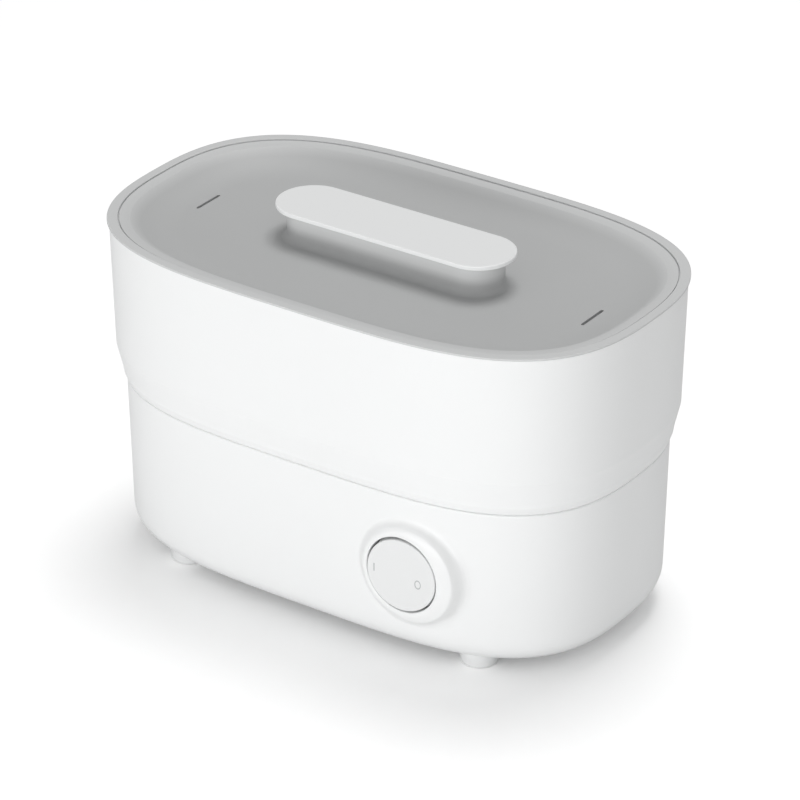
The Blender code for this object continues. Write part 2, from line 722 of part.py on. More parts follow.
ROCKER_FACE = COLLAR_FRONT + ROCKER_PROUD
ROCKER_BACK = ROCKER_FACE - ROCKER_THICKNESS
ROCKER_AXIS = COLLAR_FRONT - ROCKER_AXIS_DEPTH
ROCKER_RADIUS = BORE_RADIUS - ROCKER_FIT
SWITCH_FRONT = FRAME_FRONT + SWITCH_PROUD


def rocked(depth, offset):
    # depth of a point on the rocker once it is tilted to its rest stop
    half = ROCKER_SWING / 2
    return ROCKER_AXIS + (depth - ROCKER_AXIS) * math.cos(half) - offset * math.sin(half)


LUG_TIP = rocked(ROCKER_BACK - LUG_LENGTH, SWITCH_OFFSET)


def rocker_button(finish, pivot):
    profile = [(ROCKER_RADIUS * share, ROCKER_FACE) for share in ROCKER_FACE_SHARES]
    profile += [
        (ROCKER_RADIUS - EDGE_ROUND, ROCKER_FACE), (ROCKER_RADIUS, ROCKER_FACE - EDGE_ROUND),
        (ROCKER_RADIUS, ROCKER_BACK), (0, ROCKER_BACK)]
    item = turned("rocker_button", profile, finish, sides=FINE_SIDES)
    bake_modifiers(item)
    for vertex in item.data.vertices:
        if vertex.co.z > ROCKER_FACE - EDGE_ROUND / 2:
            vertex.co.z -= ROCKER_DISH * (1 - (vertex.co.x / ROCKER_RADIUS) ** 2)
    ears = bmesh.new()
    for side in (1, -1):
        reach = sorted((side * EAR_OFFSET, side * (EAR_OFFSET + EAR_THICKNESS)))
        add_box(
            ears, (-EAR_HALF_WIDTH, EAR_HALF_WIDTH), reach,
            (ROCKER_AXIS - EAR_BEHIND_AXIS, ROCKER_BACK + EDGE_ROUND))
    add_cylinder(
        ears, SWITCH_OFFSET, 0, (ROCKER_BACK - LUG_LENGTH, ROCKER_BACK + EDGE_ROUND),
        LUG_RADIUS, sides=COARSE_SIDES)
    hole = bmesh.new()
    add_cylinder(hole, 0, 0, (-PIN_END, PIN_END), PIN_RADIUS + GAP / 2, sides=COARSE_SIDES)
    bmesh.ops.rotate(hole, verts=hole.verts, matrix=Matrix.Rotation(math.pi / 2, 3, "X"))
    bmesh.ops.translate(hole, verts=hole.verts, vec=(0, 0, ROCKER_AXIS))
    tools = [join(item, ears).object, cut(item, hole).object]
    for piece in (item, *tools):
        tilt_to_rest(piece.data)
        to_front(piece)
    bpy.context.view_layer.update()
    hold([item], pivot)
    return item


def tilt_to_rest(mesh):
    # tilts the mesh about the hinge line to the rocker's rest stop
    turn = Matrix.Rotation(ROCKER_SWING / 2, 4, "Y")
    centre = Matrix.Translation((0, 0, ROCKER_AXIS))
    mesh.transform(centre @ turn @ centre.inverted())


def bake_modifiers(item):
    bpy.context.view_layer.update()
    graph = bpy.context.evaluated_depsgraph_get()
    mesh = bpy.data.meshes.new_from_object(item.evaluated_get(graph))
    item.modifiers.clear()
    item.data = mesh


def pivot_pin(finish):
    bm = bmesh.new()
    add_cylinder(bm, 0, 0, (-PIN_END, PIN_END), PIN_RADIUS, sides=COARSE_SIDES)
    item = add_object("pivot_pin", bm, finish)
    item.location = (KNOB_X, -ROCKER_AXIS, KNOB_HEIGHT)
    return item


def switch_frame(finish):
    cup_outer = BORE_RADIUS - GAP
    cup_inner = cup_outer - CUP_WALL
    top = FRAME_FRONT + CUP_HEIGHT
    base = FRAME_BACK + FRAME_THICKNESS / 2
    item = to_front(turned("switch_frame", [
        (0, FRAME_FRONT), (cup_inner, FRAME_FRONT), (cup_inner, top), (cup_outer, top),
        (cup_outer, FRAME_BACK), (0, FRAME_BACK)], finish))
    extras = bmesh.new()
    arm_end = cup_inner + CUP_WALL / 2
    for side in (1, -1):
        reach = sorted((side * ARM_START, side * arm_end))
        add_box(extras, (-EAR_HALF_WIDTH, EAR_HALF_WIDTH), reach, (base, top + ARM_PROUD))
    boolean(item, to_front(add_object("frame_arms_join", extras, None, CUTTERS)), "UNION")
    strap = bmesh.new()
    add_box(
        strap, (-STRAP_HALF_WIDTH, STRAP_HALF_WIDTH), (-STRAP_REACH, STRAP_REACH),
        (FRAME_BACK, FRAME_FRONT))
    boolean(item, to_front(add_object("frame_strap_join", strap, None, CUTTERS)), "UNION")
    holes = bmesh.new()
    for side in (1, -1):
        add_cylinder(
            holes, 0, side * FRAME_SCREW_OFFSET, (FRAME_BACK - OVERRUN, FRAME_FRONT + OVERRUN),
            FRAME_SCREW_RADIUS + GAP, sides=COARSE_SIDES)
    boolean(item, to_front(add_object("frame_holes_cut", holes, None, CUTTERS)))
    window = (SWITCH_OFFSET - SWITCH_HALF_WIDTH - GAP, SWITCH_OFFSET + SWITCH_HALF_WIDTH + GAP)
    openings = (
        ("frame_window_cut", SWITCH_HALF_LENGTH + GAP, FRAME_FRONT + OVERRUN),
        ("frame_notch_cut", STRAP_REACH + OVERRUN, FRAME_BACK + FRAME_THICKNESS * FRAME_NOTCH_SHARE))
    for name, low, front in openings:
        opening = bmesh.new()
        add_box(opening, window, (-low, SWITCH_HALF_LENGTH + GAP), (FRAME_BACK - OVERRUN, front))
        boolean(item, to_front(add_object(name, opening, None, CUTTERS)))
    bore = bmesh.new()
    add_cylinder(
        bore, KNOB_X, -ROCKER_AXIS, (KNOB_HEIGHT - PIN_END - GAP, KNOB_HEIGHT + PIN_END + GAP),
        PIN_RADIUS + GAP / 2, sides=COARSE_SIDES)
    boolean(item, add_object("frame_pin_cut", bore, None, CUTTERS))
    return item


def frame_screws(finish):
    for name, side in (("upper", 1), ("lower", -1)):
        profile = screw_profile(
            FRAME_SCREW_HEAD_RADIUS, FRAME_SCREW_HEAD, FRAME_SCREW_RADIUS,
            FRAME_THICKNESS + FRAME_SCREW_LENGTH)
        item = turned("frame_screw_" + name, profile, finish, sides=COARSE_SIDES)
        item.location = (KNOB_X, GAP - FRAME_BACK, KNOB_HEIGHT + side * FRAME_SCREW_OFFSET)
        item.rotation_euler = (math.pi / 2, 0, 0)


def microswitch(finish):
    bm = bmesh.new()
    back = FRAME_BACK - SWITCH_BEHIND
    add_box(
        bm, (SWITCH_OFFSET - SWITCH_HALF_WIDTH, SWITCH_OFFSET + SWITCH_HALF_WIDTH),
        (-SWITCH_HALF_LENGTH, SWITCH_HALF_LENGTH), (back, SWITCH_FRONT))
    item = to_front(add_object("microswitch", bm, finish, smooth=False))
    tabs = bmesh.new()
    for side in (1, -1):
        x = SWITCH_OFFSET + side * SWITCH_TAB_OFFSET
        add_box(
            tabs, (x - SWITCH_TAB_HALF_WIDTH, x + SWITCH_TAB_HALF_WIDTH),
            (-SWITCH_HALF_LENGTH - SWITCH_TAB, -SWITCH_HALF_LENGTH + SWITCH_TAB_THICKNESS),
            (back + GAP, back + GAP + SWITCH_TAB_THICKNESS))
    boolean(item, to_front(add_object("switch_tabs_join", tabs, None, CUTTERS)), "UNION")
    hole = bmesh.new()
    add_cylinder(
        hole, SWITCH_OFFSET, 0, (SWITCH_FRONT - PLUNGER_HOLE_DEPTH, SWITCH_FRONT + OVERRUN),
        PLUNGER_RADIUS + GAP, sides=COARSE_SIDES)
    boolean(item, to_front(add_object("switch_hole_cut", hole, None, CUTTERS)))
    return item


def switch_plunger(finish, pivot):
    bm = bmesh.new()
    add_cylinder(
        bm, SWITCH_OFFSET, 0, (SWITCH_FRONT - PLUNGER_SUNK, LUG_TIP - GAP),
        PLUNGER_RADIUS, sides=COARSE_SIDES)
    item = to_front(add_object("switch_plunger", bm, finish))
    bpy.context.view_layer.update()
    hold([item], pivot)
    return item


# Gland at the back, built round its own axis, which points out of the back

def to_back(item):
    item.location = (GLAND_X, 0, GLAND_HEIGHT)
    item.rotation_euler = (-math.pi / 2, 0, 0)
    return item


GLAND_SEAT = front_at(GLAND_X, BASE_LOW_INSET) + GLAND_PAD_PROUD
GLAND_PAD_BACK = GLAND_SEAT - GLAND_PAD_DEPTH


def gland_pad():
    bm = bmesh.new()
    add_cylinder(bm, 0, 0, (GLAND_PAD_BACK, GLAND_SEAT), GLAND_PAD_RADIUS, sides=MEDIUM_SIDES)
    return to_back(add_object("gland_pad_join", bm, None, CUTTERS))


def gland_bore():
    bm = bmesh.new()
    add_cylinder(
        bm, 0, 0, (GLAND_PAD_BACK - OVERRUN, GLAND_SEAT + OVERRUN), GLAND_RADIUS + GAP,
        sides=MEDIUM_SIDES)
    return to_back(add_object("gland_bore_cut", bm, None, CUTTERS))


def cord_gland(finish, nut_finish):
    seat = GLAND_SEAT + GAP
    face = seat + GLAND_FLANGE
    end = GLAND_PAD_BACK - GLAND_REACH
    profile = [
        (GLAND_BORE, face), (GLAND_FLANGE_RADIUS - GLAND_FLANGE / 2, face),
        (GLAND_FLANGE_RADIUS, face - GLAND_FLANGE / 2), (GLAND_FLANGE_RADIUS, seat),
        (GLAND_RADIUS, seat), (GLAND_RADIUS, end), (GLAND_BORE, end)]
    to_back(turned("cord_gland", profile, finish, sides=MEDIUM_SIDES, ring=True))
    bm = bmesh.new()
    top = GLAND_PAD_BACK - GAP
    add_cylinder(bm, 0, 0, (top - GLAND_NUT, top), GLAND_NUT_RADIUS, sides=6)
    nut = to_back(add_object("gland_nut", bm, nut_finish, smooth=False))
    hole = bmesh.new()
    add_cylinder(hole, 0, 0, (top - GLAND_NUT - OVERRUN, top + OVERRUN), GLAND_RADIUS + GAP)
    boolean(nut, to_back(add_object("gland_nut_cut", hole, None, CUTTERS)))


def terminal_block(finish):
    low = COVER_TOP_Z + GAP
    bm = bmesh.new()
    add_box(
        bm, (BLOCK_X - BLOCK_HALF_LENGTH, BLOCK_X + BLOCK_HALF_LENGTH),
        (BLOCK_Y - BLOCK_HALF_WIDTH, BLOCK_Y + BLOCK_HALF_WIDTH), (low, low + BLOCK_HEIGHT))
    item = add_object("terminal_block", bm, finish, smooth=False)
    wells = bmesh.new()
    for index in (-1, 0, 1):
        add_cylinder(
            wells, BLOCK_X + index * BLOCK_PITCH, BLOCK_Y,
            (low + BLOCK_HEIGHT - BLOCK_SCREW_WELL, low + BLOCK_HEIGHT + OVERRUN),
            BLOCK_SCREW_WELL_RADIUS, sides=COARSE_SIDES)
    cut(item, wells)
    return item


# Bottom cover, screws and feet

def bottom_cover(finish):
    inset = BASE_LOW_INSET + BOTTOM_ROUND_WIDTH + REST_RIM_WIDTH + GAP
    low = BASE_BOTTOM_Z + GAP
    item = loft("bottom_cover", [(outline(inset), low), (outline(inset), COVER_TOP_Z)], finish)
    holes = bmesh.new()
    for x in (POST_X, -POST_X):
        for y in (POST_Y, -POST_Y):
            add_cylinder(
                holes, x, y, (low - OVERRUN, COVER_TOP_Z + OVERRUN),
                COVER_SCREW_RADIUS + 2 * GAP, sides=COARSE_SIDES)
    cut(item, holes)
    return item


def base_screws(finish):
    for x_name, x in (("left", -POST_X), ("right", POST_X)):
        for y_name, y in (("front", -POST_Y), ("rear", POST_Y)):
            profile = screw_profile(
                COVER_SCREW_HEAD_RADIUS, COVER_SCREW_HEAD, COVER_SCREW_RADIUS, COVER_SCREW_LENGTH)
            item = turned("base_screw_" + y_name + "_" + x_name, profile, finish, sides=COARSE_SIDES)
            item.location = (x, y, BASE_BOTTOM_Z)


def feet(finish):
    envelope = [(BASE_LOW_INSET - GAP, BOTTOM_ROUND_Z)]
    for index in range(1, BOTTOM_ROUND_STEPS + 1):
        turn = math.pi / 2 * index / BOTTOM_ROUND_STEPS
        inward = BOTTOM_ROUND_WIDTH * (1 - math.cos(turn))
        down = BOTTOM_ROUND_HEIGHT * (1 - math.sin(turn))
        envelope.append((BASE_LOW_INSET + inward, BASE_BOTTOM_Z + down - GAP))
    base_form = loft("base_form_cut", shell_sections(envelope), group=CUTTERS)
    top = BASE_BOTTOM_Z + WALL + GAP
    for x_name, x in (("left", -FOOT_X), ("right", FOOT_X)):
        for y_name, y in (("front", -FOOT_Y), ("rear", FOOT_Y)):
            bm = bmesh.new()
            add_cylinder(bm, x, y, (FOOT_ROUND, top), FOOT_RADIUS)
            round_foot_edge(bm, x, y)
            name = "foot_" + y_name + "_" + x_name
            item = add_object(name, bm, finish)
            boolean(item, base_form)
            stem = bmesh.new()
            add_cylinder(
                stem, x, y, (BASE_BOTTOM_Z - FOOT_DROP / 2, BASE_BOTTOM_Z + WALL + FOOT_STEM_PROUD),
                FOOT_STEM_RADIUS, sides=COARSE_SIDES)
            join(item, stem)


def round_foot_edge(bm, x, y):
    # the foot's lower edge is rounded by drawing its bottom face in
    low = min(face.calc_center_median().z for face in bm.faces)
    bottom = [face for face in bm.faces if face.calc_center_median().z <= low + MERGE]
    made = bmesh.ops.extrude_discrete_faces(bm, faces=bottom)["faces"]
    verts = list({vertex for face in made for vertex in face.verts})
    share = (FOOT_RADIUS - FOOT_ROUND) / FOOT_RADIUS
    space = Matrix.Translation((-x, -y, 0))
    bmesh.ops.scale(bm, vec=(share, share, 1), verts=verts, space=space)
    bmesh.ops.translate(bm, verts=verts, vec=(0, 0, -FOOT_ROUND))


# Water tub, heating plate and what is under it

GASKET_TOP_Z = TUB_FLOOR_UNDER_Z - GAP
GASKET_LOW_Z = GASKET_TOP_Z - GASKET_THICKNESS
FLANGE_TOP_Z = GASKET_LOW_Z - GAP
FLANGE_LOW_Z = FLANGE_TOP_Z - PLATE_THICKNESS
WELL_Z = FLANGE_TOP_Z - WELL_DEPTH
PLATE_UNDER_Z = WELL_Z - PLATE_THICKNESS
CLAMP_TOP_Z = FLANGE_LOW_Z - GAP
CLAMP_LOW_Z = CLAMP_TOP_Z - CLAMP_THICKNESS
FLANGE_START = WELL_RADIUS + WELL_SLOPE
FLANGE_END = FLANGE_START + PLATE_FLANGE
TUB_OPENING = FLANGE_START + TUB_OPENING_RIM
CLAMP_INNER = FLANGE_START + PLATE_THICKNESS + GAP
CLAMP_OUTER = CLAMP_INNER + CLAMP_WIDTH
CLAMP_SCREW_RING = FLANGE_END + GAP + CLAMP_BOSS_RADIUS


def clamp_places():
    reach = CLAMP_SCREW_RING / math.sqrt(2)
    return [(x, y) for y in (-reach, reach) for x in (-reach, reach)]


def water_tub(finish):
    low = TUB_FLOOR_UNDER_Z
    round_in = TUB_FLOOR_ROUND
    bend = round_in * TUB_BEND_SHARE
    profile = [
        (COLLAR_INSET, COLLAR_TOP_Z), (COLLAR_INSET, TUB_SEAT_Z),
        (TUB_NECK_INSET, TUB_SEAT_Z), (TUB_NECK_INSET, TUB_NECK_Z),
        (TUB_SHOULDER_INSET, TUB_SHOULDER_Z), (TUB_LOW_INSET, low + round_in),
        (TUB_LOW_INSET + bend, low + bend), (TUB_LOW_INSET + round_in, low)]
    floor_edge = TUB_LOW_INSET + TUB_WALL + round_in
    inner = [
        (floor_edge, TUB_FLOOR_Z),
        (TUB_LOW_INSET + TUB_WALL + bend, TUB_FLOOR_Z + bend)]
    sections = list(reversed(profile)) + TUB_INNER + list(reversed(inner))
    item = loft("water_tub", shell_sections(sections), finish)
    posts = bmesh.new()
    post_low = COVER_TOP_Z + GAP
    for x in (POST_X, -POST_X):
        for y in (POST_Y, -POST_Y):
            add_cylinder(posts, x, y, (post_low, low + TUB_WALL / 2), POST_RADIUS, sides=COARSE_SIDES)
    for x, y in clamp_places():
        add_cylinder(
            posts, x, y, (CLAMP_TOP_Z + GAP, low + TUB_WALL / 2), CLAMP_BOSS_RADIUS, sides=COARSE_SIDES)
    join(item, posts)
    holes = bmesh.new()
    add_cylinder(holes, 0, 0, (low - OVERRUN, TUB_FLOOR_Z + OVERRUN), TUB_OPENING, sides=FINE_SIDES)
    for x in (POST_X, -POST_X):
        for y in (POST_Y, -POST_Y):
            add_cylinder(
                holes, x, y, (post_low - OVERRUN, BASE_BOTTOM_Z + COVER_SCREW_LENGTH + GAP),
                COVER_SCREW_RADIUS + GAP, sides=COARSE_SIDES)
    for x, y in clamp_places():
        add_cylinder(
            holes, x, y, (CLAMP_TOP_Z - OVERRUN, low + TUB_WALL / 2), CLAMP_SCREW_RADIUS + GAP,
            sides=COARSE_SIDES)
    cut(item, holes)
    return item


def plate_group(plate_finish, gasket_finish, screw_finish):
    profile = [
        (0, WELL_Z), (WELL_RADIUS, WELL_Z), (FLANGE_START, FLANGE_TOP_Z), (FLANGE_END, FLANGE_TOP_Z),
        (FLANGE_END, FLANGE_LOW_Z), (FLANGE_START + PLATE_THICKNESS / 2, FLANGE_LOW_Z),
        (WELL_RADIUS + PLATE_THICKNESS / 2, PLATE_UNDER_Z), (0, PLATE_UNDER_Z)]
    plate = turned("heating_plate", profile, plate_finish)
    studs = bmesh.new()
    stud_low = PLATE_UNDER_Z - GAP - STAT_FLANGE
    for side in (1, -1):
        add_cylinder(
            studs, side * STUD_X, 0, (stud_low, PLATE_UNDER_Z + PLATE_THICKNESS / 2), STUD_RADIUS,
            sides=COARSE_SIDES)
    join(plate, studs)
    pilots = bmesh.new()
    for side in (1, -1):
        add_cylinder(
            pilots, side * STUD_X, 0, (stud_low - OVERRUN, PLATE_UNDER_Z), BRACKET_SCREW_RADIUS + GAP,
            sides=COARSE_SIDES)
    cut(plate, pilots)
    turned("plate_gasket", [
        (FLANGE_END, GASKET_TOP_Z), (FLANGE_END, GASKET_LOW_Z),
        (TUB_OPENING, GASKET_LOW_Z), (TUB_OPENING, GASKET_TOP_Z)], gasket_finish, ring=True)
    clamp = turned("plate_clamp_ring", [
        (CLAMP_OUTER, CLAMP_TOP_Z), (CLAMP_OUTER, CLAMP_LOW_Z),
        (CLAMP_INNER, CLAMP_LOW_Z), (CLAMP_INNER, CLAMP_TOP_Z)], screw_finish, ring=True)
    holes = bmesh.new()
    for x, y in clamp_places():
        add_cylinder(
            holes, x, y, (CLAMP_LOW_Z - OVERRUN, CLAMP_TOP_Z + OVERRUN), CLAMP_SCREW_RADIUS + GAP,
            sides=COARSE_SIDES)
    cut(clamp, holes)
    length = TUB_FLOOR_UNDER_Z + TUB_WALL / 2 - GAP - CLAMP_LOW_Z
    names = ("front_left", "front_right", "rear_left", "rear_right")
    for name, (x, y) in zip(names, clamp_places()):
        screw = turned("clamp_screw_" + name, screw_profile(
            CLAMP_SCREW_HEAD_RADIUS, CLAMP_SCREW_HEAD, CLAMP_SCREW_RADIUS, length),
            screw_finish, sides=COARSE_SIDES)
        screw.location = (x, y, CLAMP_LOW_Z - GAP)


def tube(name, points, radius, finish, resolution=2):
    curve = bpy.data.curves.new(name, "CURVE")
    curve.dimensions = "3D"
    curve.bevel_depth = radius
    curve.bevel_resolution = resolution
    curve.use_fill_caps = True
    spline = curve.splines.new("POLY")
    spline.points.add(len(points) - 1)
    for point, place in zip(spline.points, points):
        point.co = (*place, 1)
    curve.materials.append(finish)
    item = bpy.data.objects.new(name, curve)
    PARTS.objects.link(item)
    return item


ELEMENT_Z = PLATE_UNDER_Z - GAP - ELEMENT_RADIUS


def element_side(side):
    # from one cold end over its bend to the middle of the ring at the front
    bend_x = ELEMENT_END_SPREAD + ELEMENT_BEND_RADIUS
    reach = ELEMENT_RING_RADIUS + ELEMENT_BEND_RADIUS
    bend_y = math.sqrt(reach ** 2 - bend_x ** 2)
    meet = math.atan2(bend_y, bend_x)
    points = [(side * ELEMENT_END_SPREAD, ELEMENT_END_REACH, ELEMENT_Z)]
    for index in range(ELEMENT_BEND_POINTS + 1):
        turn = math.pi + meet * index / ELEMENT_BEND_POINTS
        x = bend_x + ELEMENT_BEND_RADIUS * math.cos(turn)
        y = bend_y + ELEMENT_BEND_RADIUS * math.sin(turn)
        points.append((side * x, y, ELEMENT_Z))
    half = ELEMENT_RING_POINTS // 2
    for index in range(1, half + 1):
        turn = meet - (meet + math.pi / 2) * index / half
        x = ELEMENT_RING_RADIUS * math.cos(turn)
        points.append((side * x, ELEMENT_RING_RADIUS * math.sin(turn), ELEMENT_Z))
    return points


def heating_element(finish):
    right = element_side(1)
    left = element_side(-1)
    return tube("heating_element", right + left[-2::-1], ELEMENT_RADIUS, finish)


STAT_TOP_Z = PLATE_UNDER_Z - GAP
STAT_FLANGE_LOW_Z = STAT_TOP_Z - STAT_FLANGE
STAT_LOW_Z = STAT_FLANGE_LOW_Z - STAT_HEIGHT
BRACKET_TOP_Z = STAT_FLANGE_LOW_Z - GAP
BRACKET_LOW_Z = BRACKET_TOP_Z - BRACKET_THICKNESS


def thermostat(finish):
    item = turned("thermostat", [
        (0, STAT_TOP_Z), (STAT_FLANGE_RADIUS, STAT_TOP_Z), (STAT_FLANGE_RADIUS, STAT_FLANGE_LOW_Z),
        (STAT_RADIUS, STAT_FLANGE_LOW_Z), (STAT_RADIUS, STAT_LOW_Z), (0, STAT_LOW_Z)],
        finish, sides=MEDIUM_SIDES)
    tabs = bmesh.new()
    for side in (1, -1):
        x = side * STAT_TAB_X
        add_box(
            tabs, (x - STAT_TAB_THICKNESS / 2, x + STAT_TAB_THICKNESS / 2),
            (-STAT_TAB_WIDTH / 2, STAT_TAB_WIDTH / 2), (STAT_LOW_Z - STAT_TAB, STAT_LOW_Z + STAT_FLANGE))
    join(item, tabs)
    return item


def thermostat_bracket(finish, screw_finish):
    item = loft("thermostat_bracket", [
        (stadium(BRACKET_HALF_LENGTH, BRACKET_HALF_WIDTH), BRACKET_LOW_Z),
        (stadium(BRACKET_HALF_LENGTH, BRACKET_HALF_WIDTH), BRACKET_TOP_Z)], finish)
    ears = bmesh.new()
    add_cylinder(ears, 0, 0, (BRACKET_LOW_Z, BRACKET_TOP_Z), STAT_FLANGE_RADIUS + WALL)
    join(item, ears)
    holes = bmesh.new()
    add_cylinder(holes, 0, 0, (BRACKET_LOW_Z - OVERRUN, BRACKET_TOP_Z + OVERRUN), STAT_RADIUS + GAP)
    for side in (1, -1):
        add_cylinder(
            holes, side * STUD_X, 0, (BRACKET_LOW_Z - OVERRUN, BRACKET_TOP_Z + OVERRUN),
            BRACKET_SCREW_RADIUS + GAP, sides=COARSE_SIDES)
    cut(item, holes)
    length = PLATE_UNDER_Z - GAP - BRACKET_LOW_Z
    for name, side in (("left", -1), ("right", 1)):
        screw = turned("bracket_screw_" + name, screw_profile(
            BRACKET_SCREW_HEAD_RADIUS, BRACKET_SCREW_HEAD, BRACKET_SCREW_RADIUS, length),
            screw_finish, sides=COARSE_SIDES)
        screw.location = (side * STUD_X, 0, BRACKET_LOW_Z - GAP)


def thermal_fuse(finish):
    bm = bmesh.new()
    add_cylinder(bm, 0, 0, (-FUSE_LENGTH / 2, FUSE_LENGTH / 2), FUSE_RADIUS, sides=COARSE_SIDES)
    item = add_object("thermal_fuse", bm, finish)
    item.location = (0, FUSE_Y, PLATE_UNDER_Z - GAP - FUSE_RADIUS)
    item.rotation_euler = (0, math.pi / 2, 0)
    return item


# Steam chamber, basket and tray

def steam_chamber(finish, pivot):
    inner_low = COLLAR_TOP_Z + GAP
    ledge_top = inner_low + CHAMBER_LEDGE_THICKNESS
    tray_top = CHAMBER_TOP_Z - TRAY_LEDGE_DEPTH
    tray_low = tray_top - TRAY_LEDGE_THICKNESS

    def wall(z):
        return level(z, CHAMBER_OUTER) + WALL

    profile = list(CHAMBER_OUTER)
    profile += [
        (BASE_TOP_INSET + WALL, CHAMBER_BOTTOM_Z), (BAND_LOW_INSET + WALL, BAND_LOW_Z),
        (wall(inner_low), inner_low), (wall(inner_low) + CHAMBER_LEDGE_WIDTH, inner_low),
        (wall(inner_low) + CHAMBER_LEDGE_WIDTH, ledge_top), (wall(ledge_top), ledge_top),
        (CHAMBER_LOW_INSET + WALL, CHAMBER_LOW_Z), (wall(tray_low), tray_low - TRAY_LEDGE_WIDTH),
        (wall(tray_low) + TRAY_LEDGE_WIDTH, tray_low), (wall(tray_top) + TRAY_LEDGE_WIDTH, tray_top),
        (wall(tray_top), tray_top), (CHAMBER_TOP_INSET + WALL, CHAMBER_TOP_Z)]
    item = loft("steam_chamber", shell_sections(profile), finish, closed=True)
    hold([item], pivot)
    return item


BASKET_FLANGE_LOW_Z = COLLAR_TOP_Z + CHAMBER_LEDGE_THICKNESS + 2 * GAP
BASKET_FLANGE_TOP_Z = BASKET_FLANGE_LOW_Z + BASKET_FLANGE_THICKNESS


def basket_outer():
    # follows the tub's inner wall with one clearance all round
    profile = [(COLLAR_INNER_INSET + BASKET_CLEAR, BASKET_FLANGE_LOW_Z)]
    profile += [(inset + BASKET_CLEAR, z + BASKET_CLEAR) for inset, z in TUB_INNER[1:-1]]
    low = BASKET_FLOOR_UNDER_Z + BASKET_FLOOR_ROUND
    profile.append((level(low, TUB_INNER) + BASKET_CLEAR, low))
    profile.append((level(low, TUB_INNER) + BASKET_CLEAR + BASKET_FLOOR_ROUND, BASKET_FLOOR_UNDER_Z))
    return profile


def slot_row(bm, count, pitch, y, z, length):
    for index in range(count):
        x = (index - (count - 1) / 2) * pitch
        add_box(bm, (x - SLOT_WIDTH / 2, x + SLOT_WIDTH / 2), (y - length / 2, y + length / 2), z)


def bottle_basket(finish, pivot):
    flange_outer = level(BASKET_FLANGE_LOW_Z, CHAMBER_OUTER) + WALL + BASKET_FLANGE_CLEAR
    outer = basket_outer()
    inner = [(inset + BASKET_WALL, z + BASKET_WALL / 4) for inset, z in outer[1:-1]]
    inner_top = (outer[0][0] + BASKET_WALL, BASKET_FLANGE_TOP_Z)
    inner_low = (outer[-1][0] + BASKET_WALL, BASKET_FLOOR_Z)
    profile = list(reversed(outer)) + [
        (flange_outer, BASKET_FLANGE_LOW_Z), (flange_outer, BASKET_FLANGE_TOP_Z), inner_top]
    profile += inner + [inner_low]
    item = loft("bottle_basket", shell_sections(profile, INNER_POINTS), finish)
    pegs = bmesh.new()
    for column in range(PEG_COLUMNS):
        x = (column - (PEG_COLUMNS - 1) / 2) * PEG_PITCH
        for y in (PEG_Y, -PEG_Y):
            add_cylinder(
                pegs, x, y, (BASKET_FLOOR_Z - BASKET_FLOOR / 2, BASKET_FLOOR_Z + PEG_HEIGHT),
                PEG_RADIUS, PEG_TIP_RADIUS, sides=COARSE_SIDES)
    floor = (BASKET_FLOOR_UNDER_Z - OVERRUN, BASKET_FLOOR_Z + OVERRUN)
    slots = bmesh.new()
    for y in (FLOOR_SLOT_Y, -FLOOR_SLOT_Y):
        slot_row(slots, FLOOR_SLOTS, FLOOR_SLOT_PITCH, y, floor, SLOT_LENGTH)
    low = BASKET_FLOOR_Z + WALL_SLOT_LOW
    across = (-WIDTH, WIDTH)
    for index in range(WALL_SLOTS):
        x = (index - (WALL_SLOTS - 1) / 2) * WALL_SLOT_PITCH
        add_box(
            slots, (x - SLOT_WIDTH / 2, x + SLOT_WIDTH / 2), across,
            (low, low + WALL_SLOT_HIGH - WALL_SLOT_LOW))
    cut(item, slots)
    join(item, pegs)
    hold([item], pivot)
    return item


def accessory_tray(finish, pivot):
    low = CHAMBER_TOP_Z - TRAY_LEDGE_DEPTH + GAP
    top = low + TRAY_FLANGE_THICKNESS
    flange_outer = level(low, CHAMBER_OUTER) + WALL + TRAY_CLEAR
    neck = level(low, CHAMBER_OUTER) + WALL + TRAY_LEDGE_WIDTH + TRAY_CLEAR
    floor_inset = neck + TRAY_DRAFT
    floor_z = low - TRAY_DEPTH
    edge = TRAY_FLOOR_ROUND
    profile = [
        (floor_inset + edge, floor_z), (floor_inset, floor_z + edge), (neck, low),
        (flange_outer, low), (flange_outer, top), (neck + TRAY_WALL, top),
        (floor_inset + TRAY_WALL, floor_z + edge + TRAY_FLOOR / 4),
        (floor_inset + edge + TRAY_WALL, floor_z + TRAY_FLOOR)]
    item = loft("accessory_tray", shell_sections(profile, INNER_POINTS), finish)
    slots = bmesh.new()
    for y in (TRAY_SLOT_Y, -TRAY_SLOT_Y):
        slot_row(
            slots, TRAY_SLOTS, TRAY_SLOT_PITCH, y, (floor_z - OVERRUN, floor_z + TRAY_FLOOR + OVERRUN),
            TRAY_SLOT_LENGTH)
    cut(item, slots)
    grips = bmesh.new()
    end = LENGTH / 2 - flange_outer - GRIP_THICKNESS
    for side in (1, -1):
        reach = sorted((side * (end - GRIP_THICKNESS), side * end))
        add_box(grips, reach, (-GRIP_HALF_WIDTH, GRIP_HALF_WIDTH), (top - TRAY_WALL / 2, top + GRIP_HEIGHT))
    join(item, grips)
    hold([item], pivot)
    return item


# Lid and handle

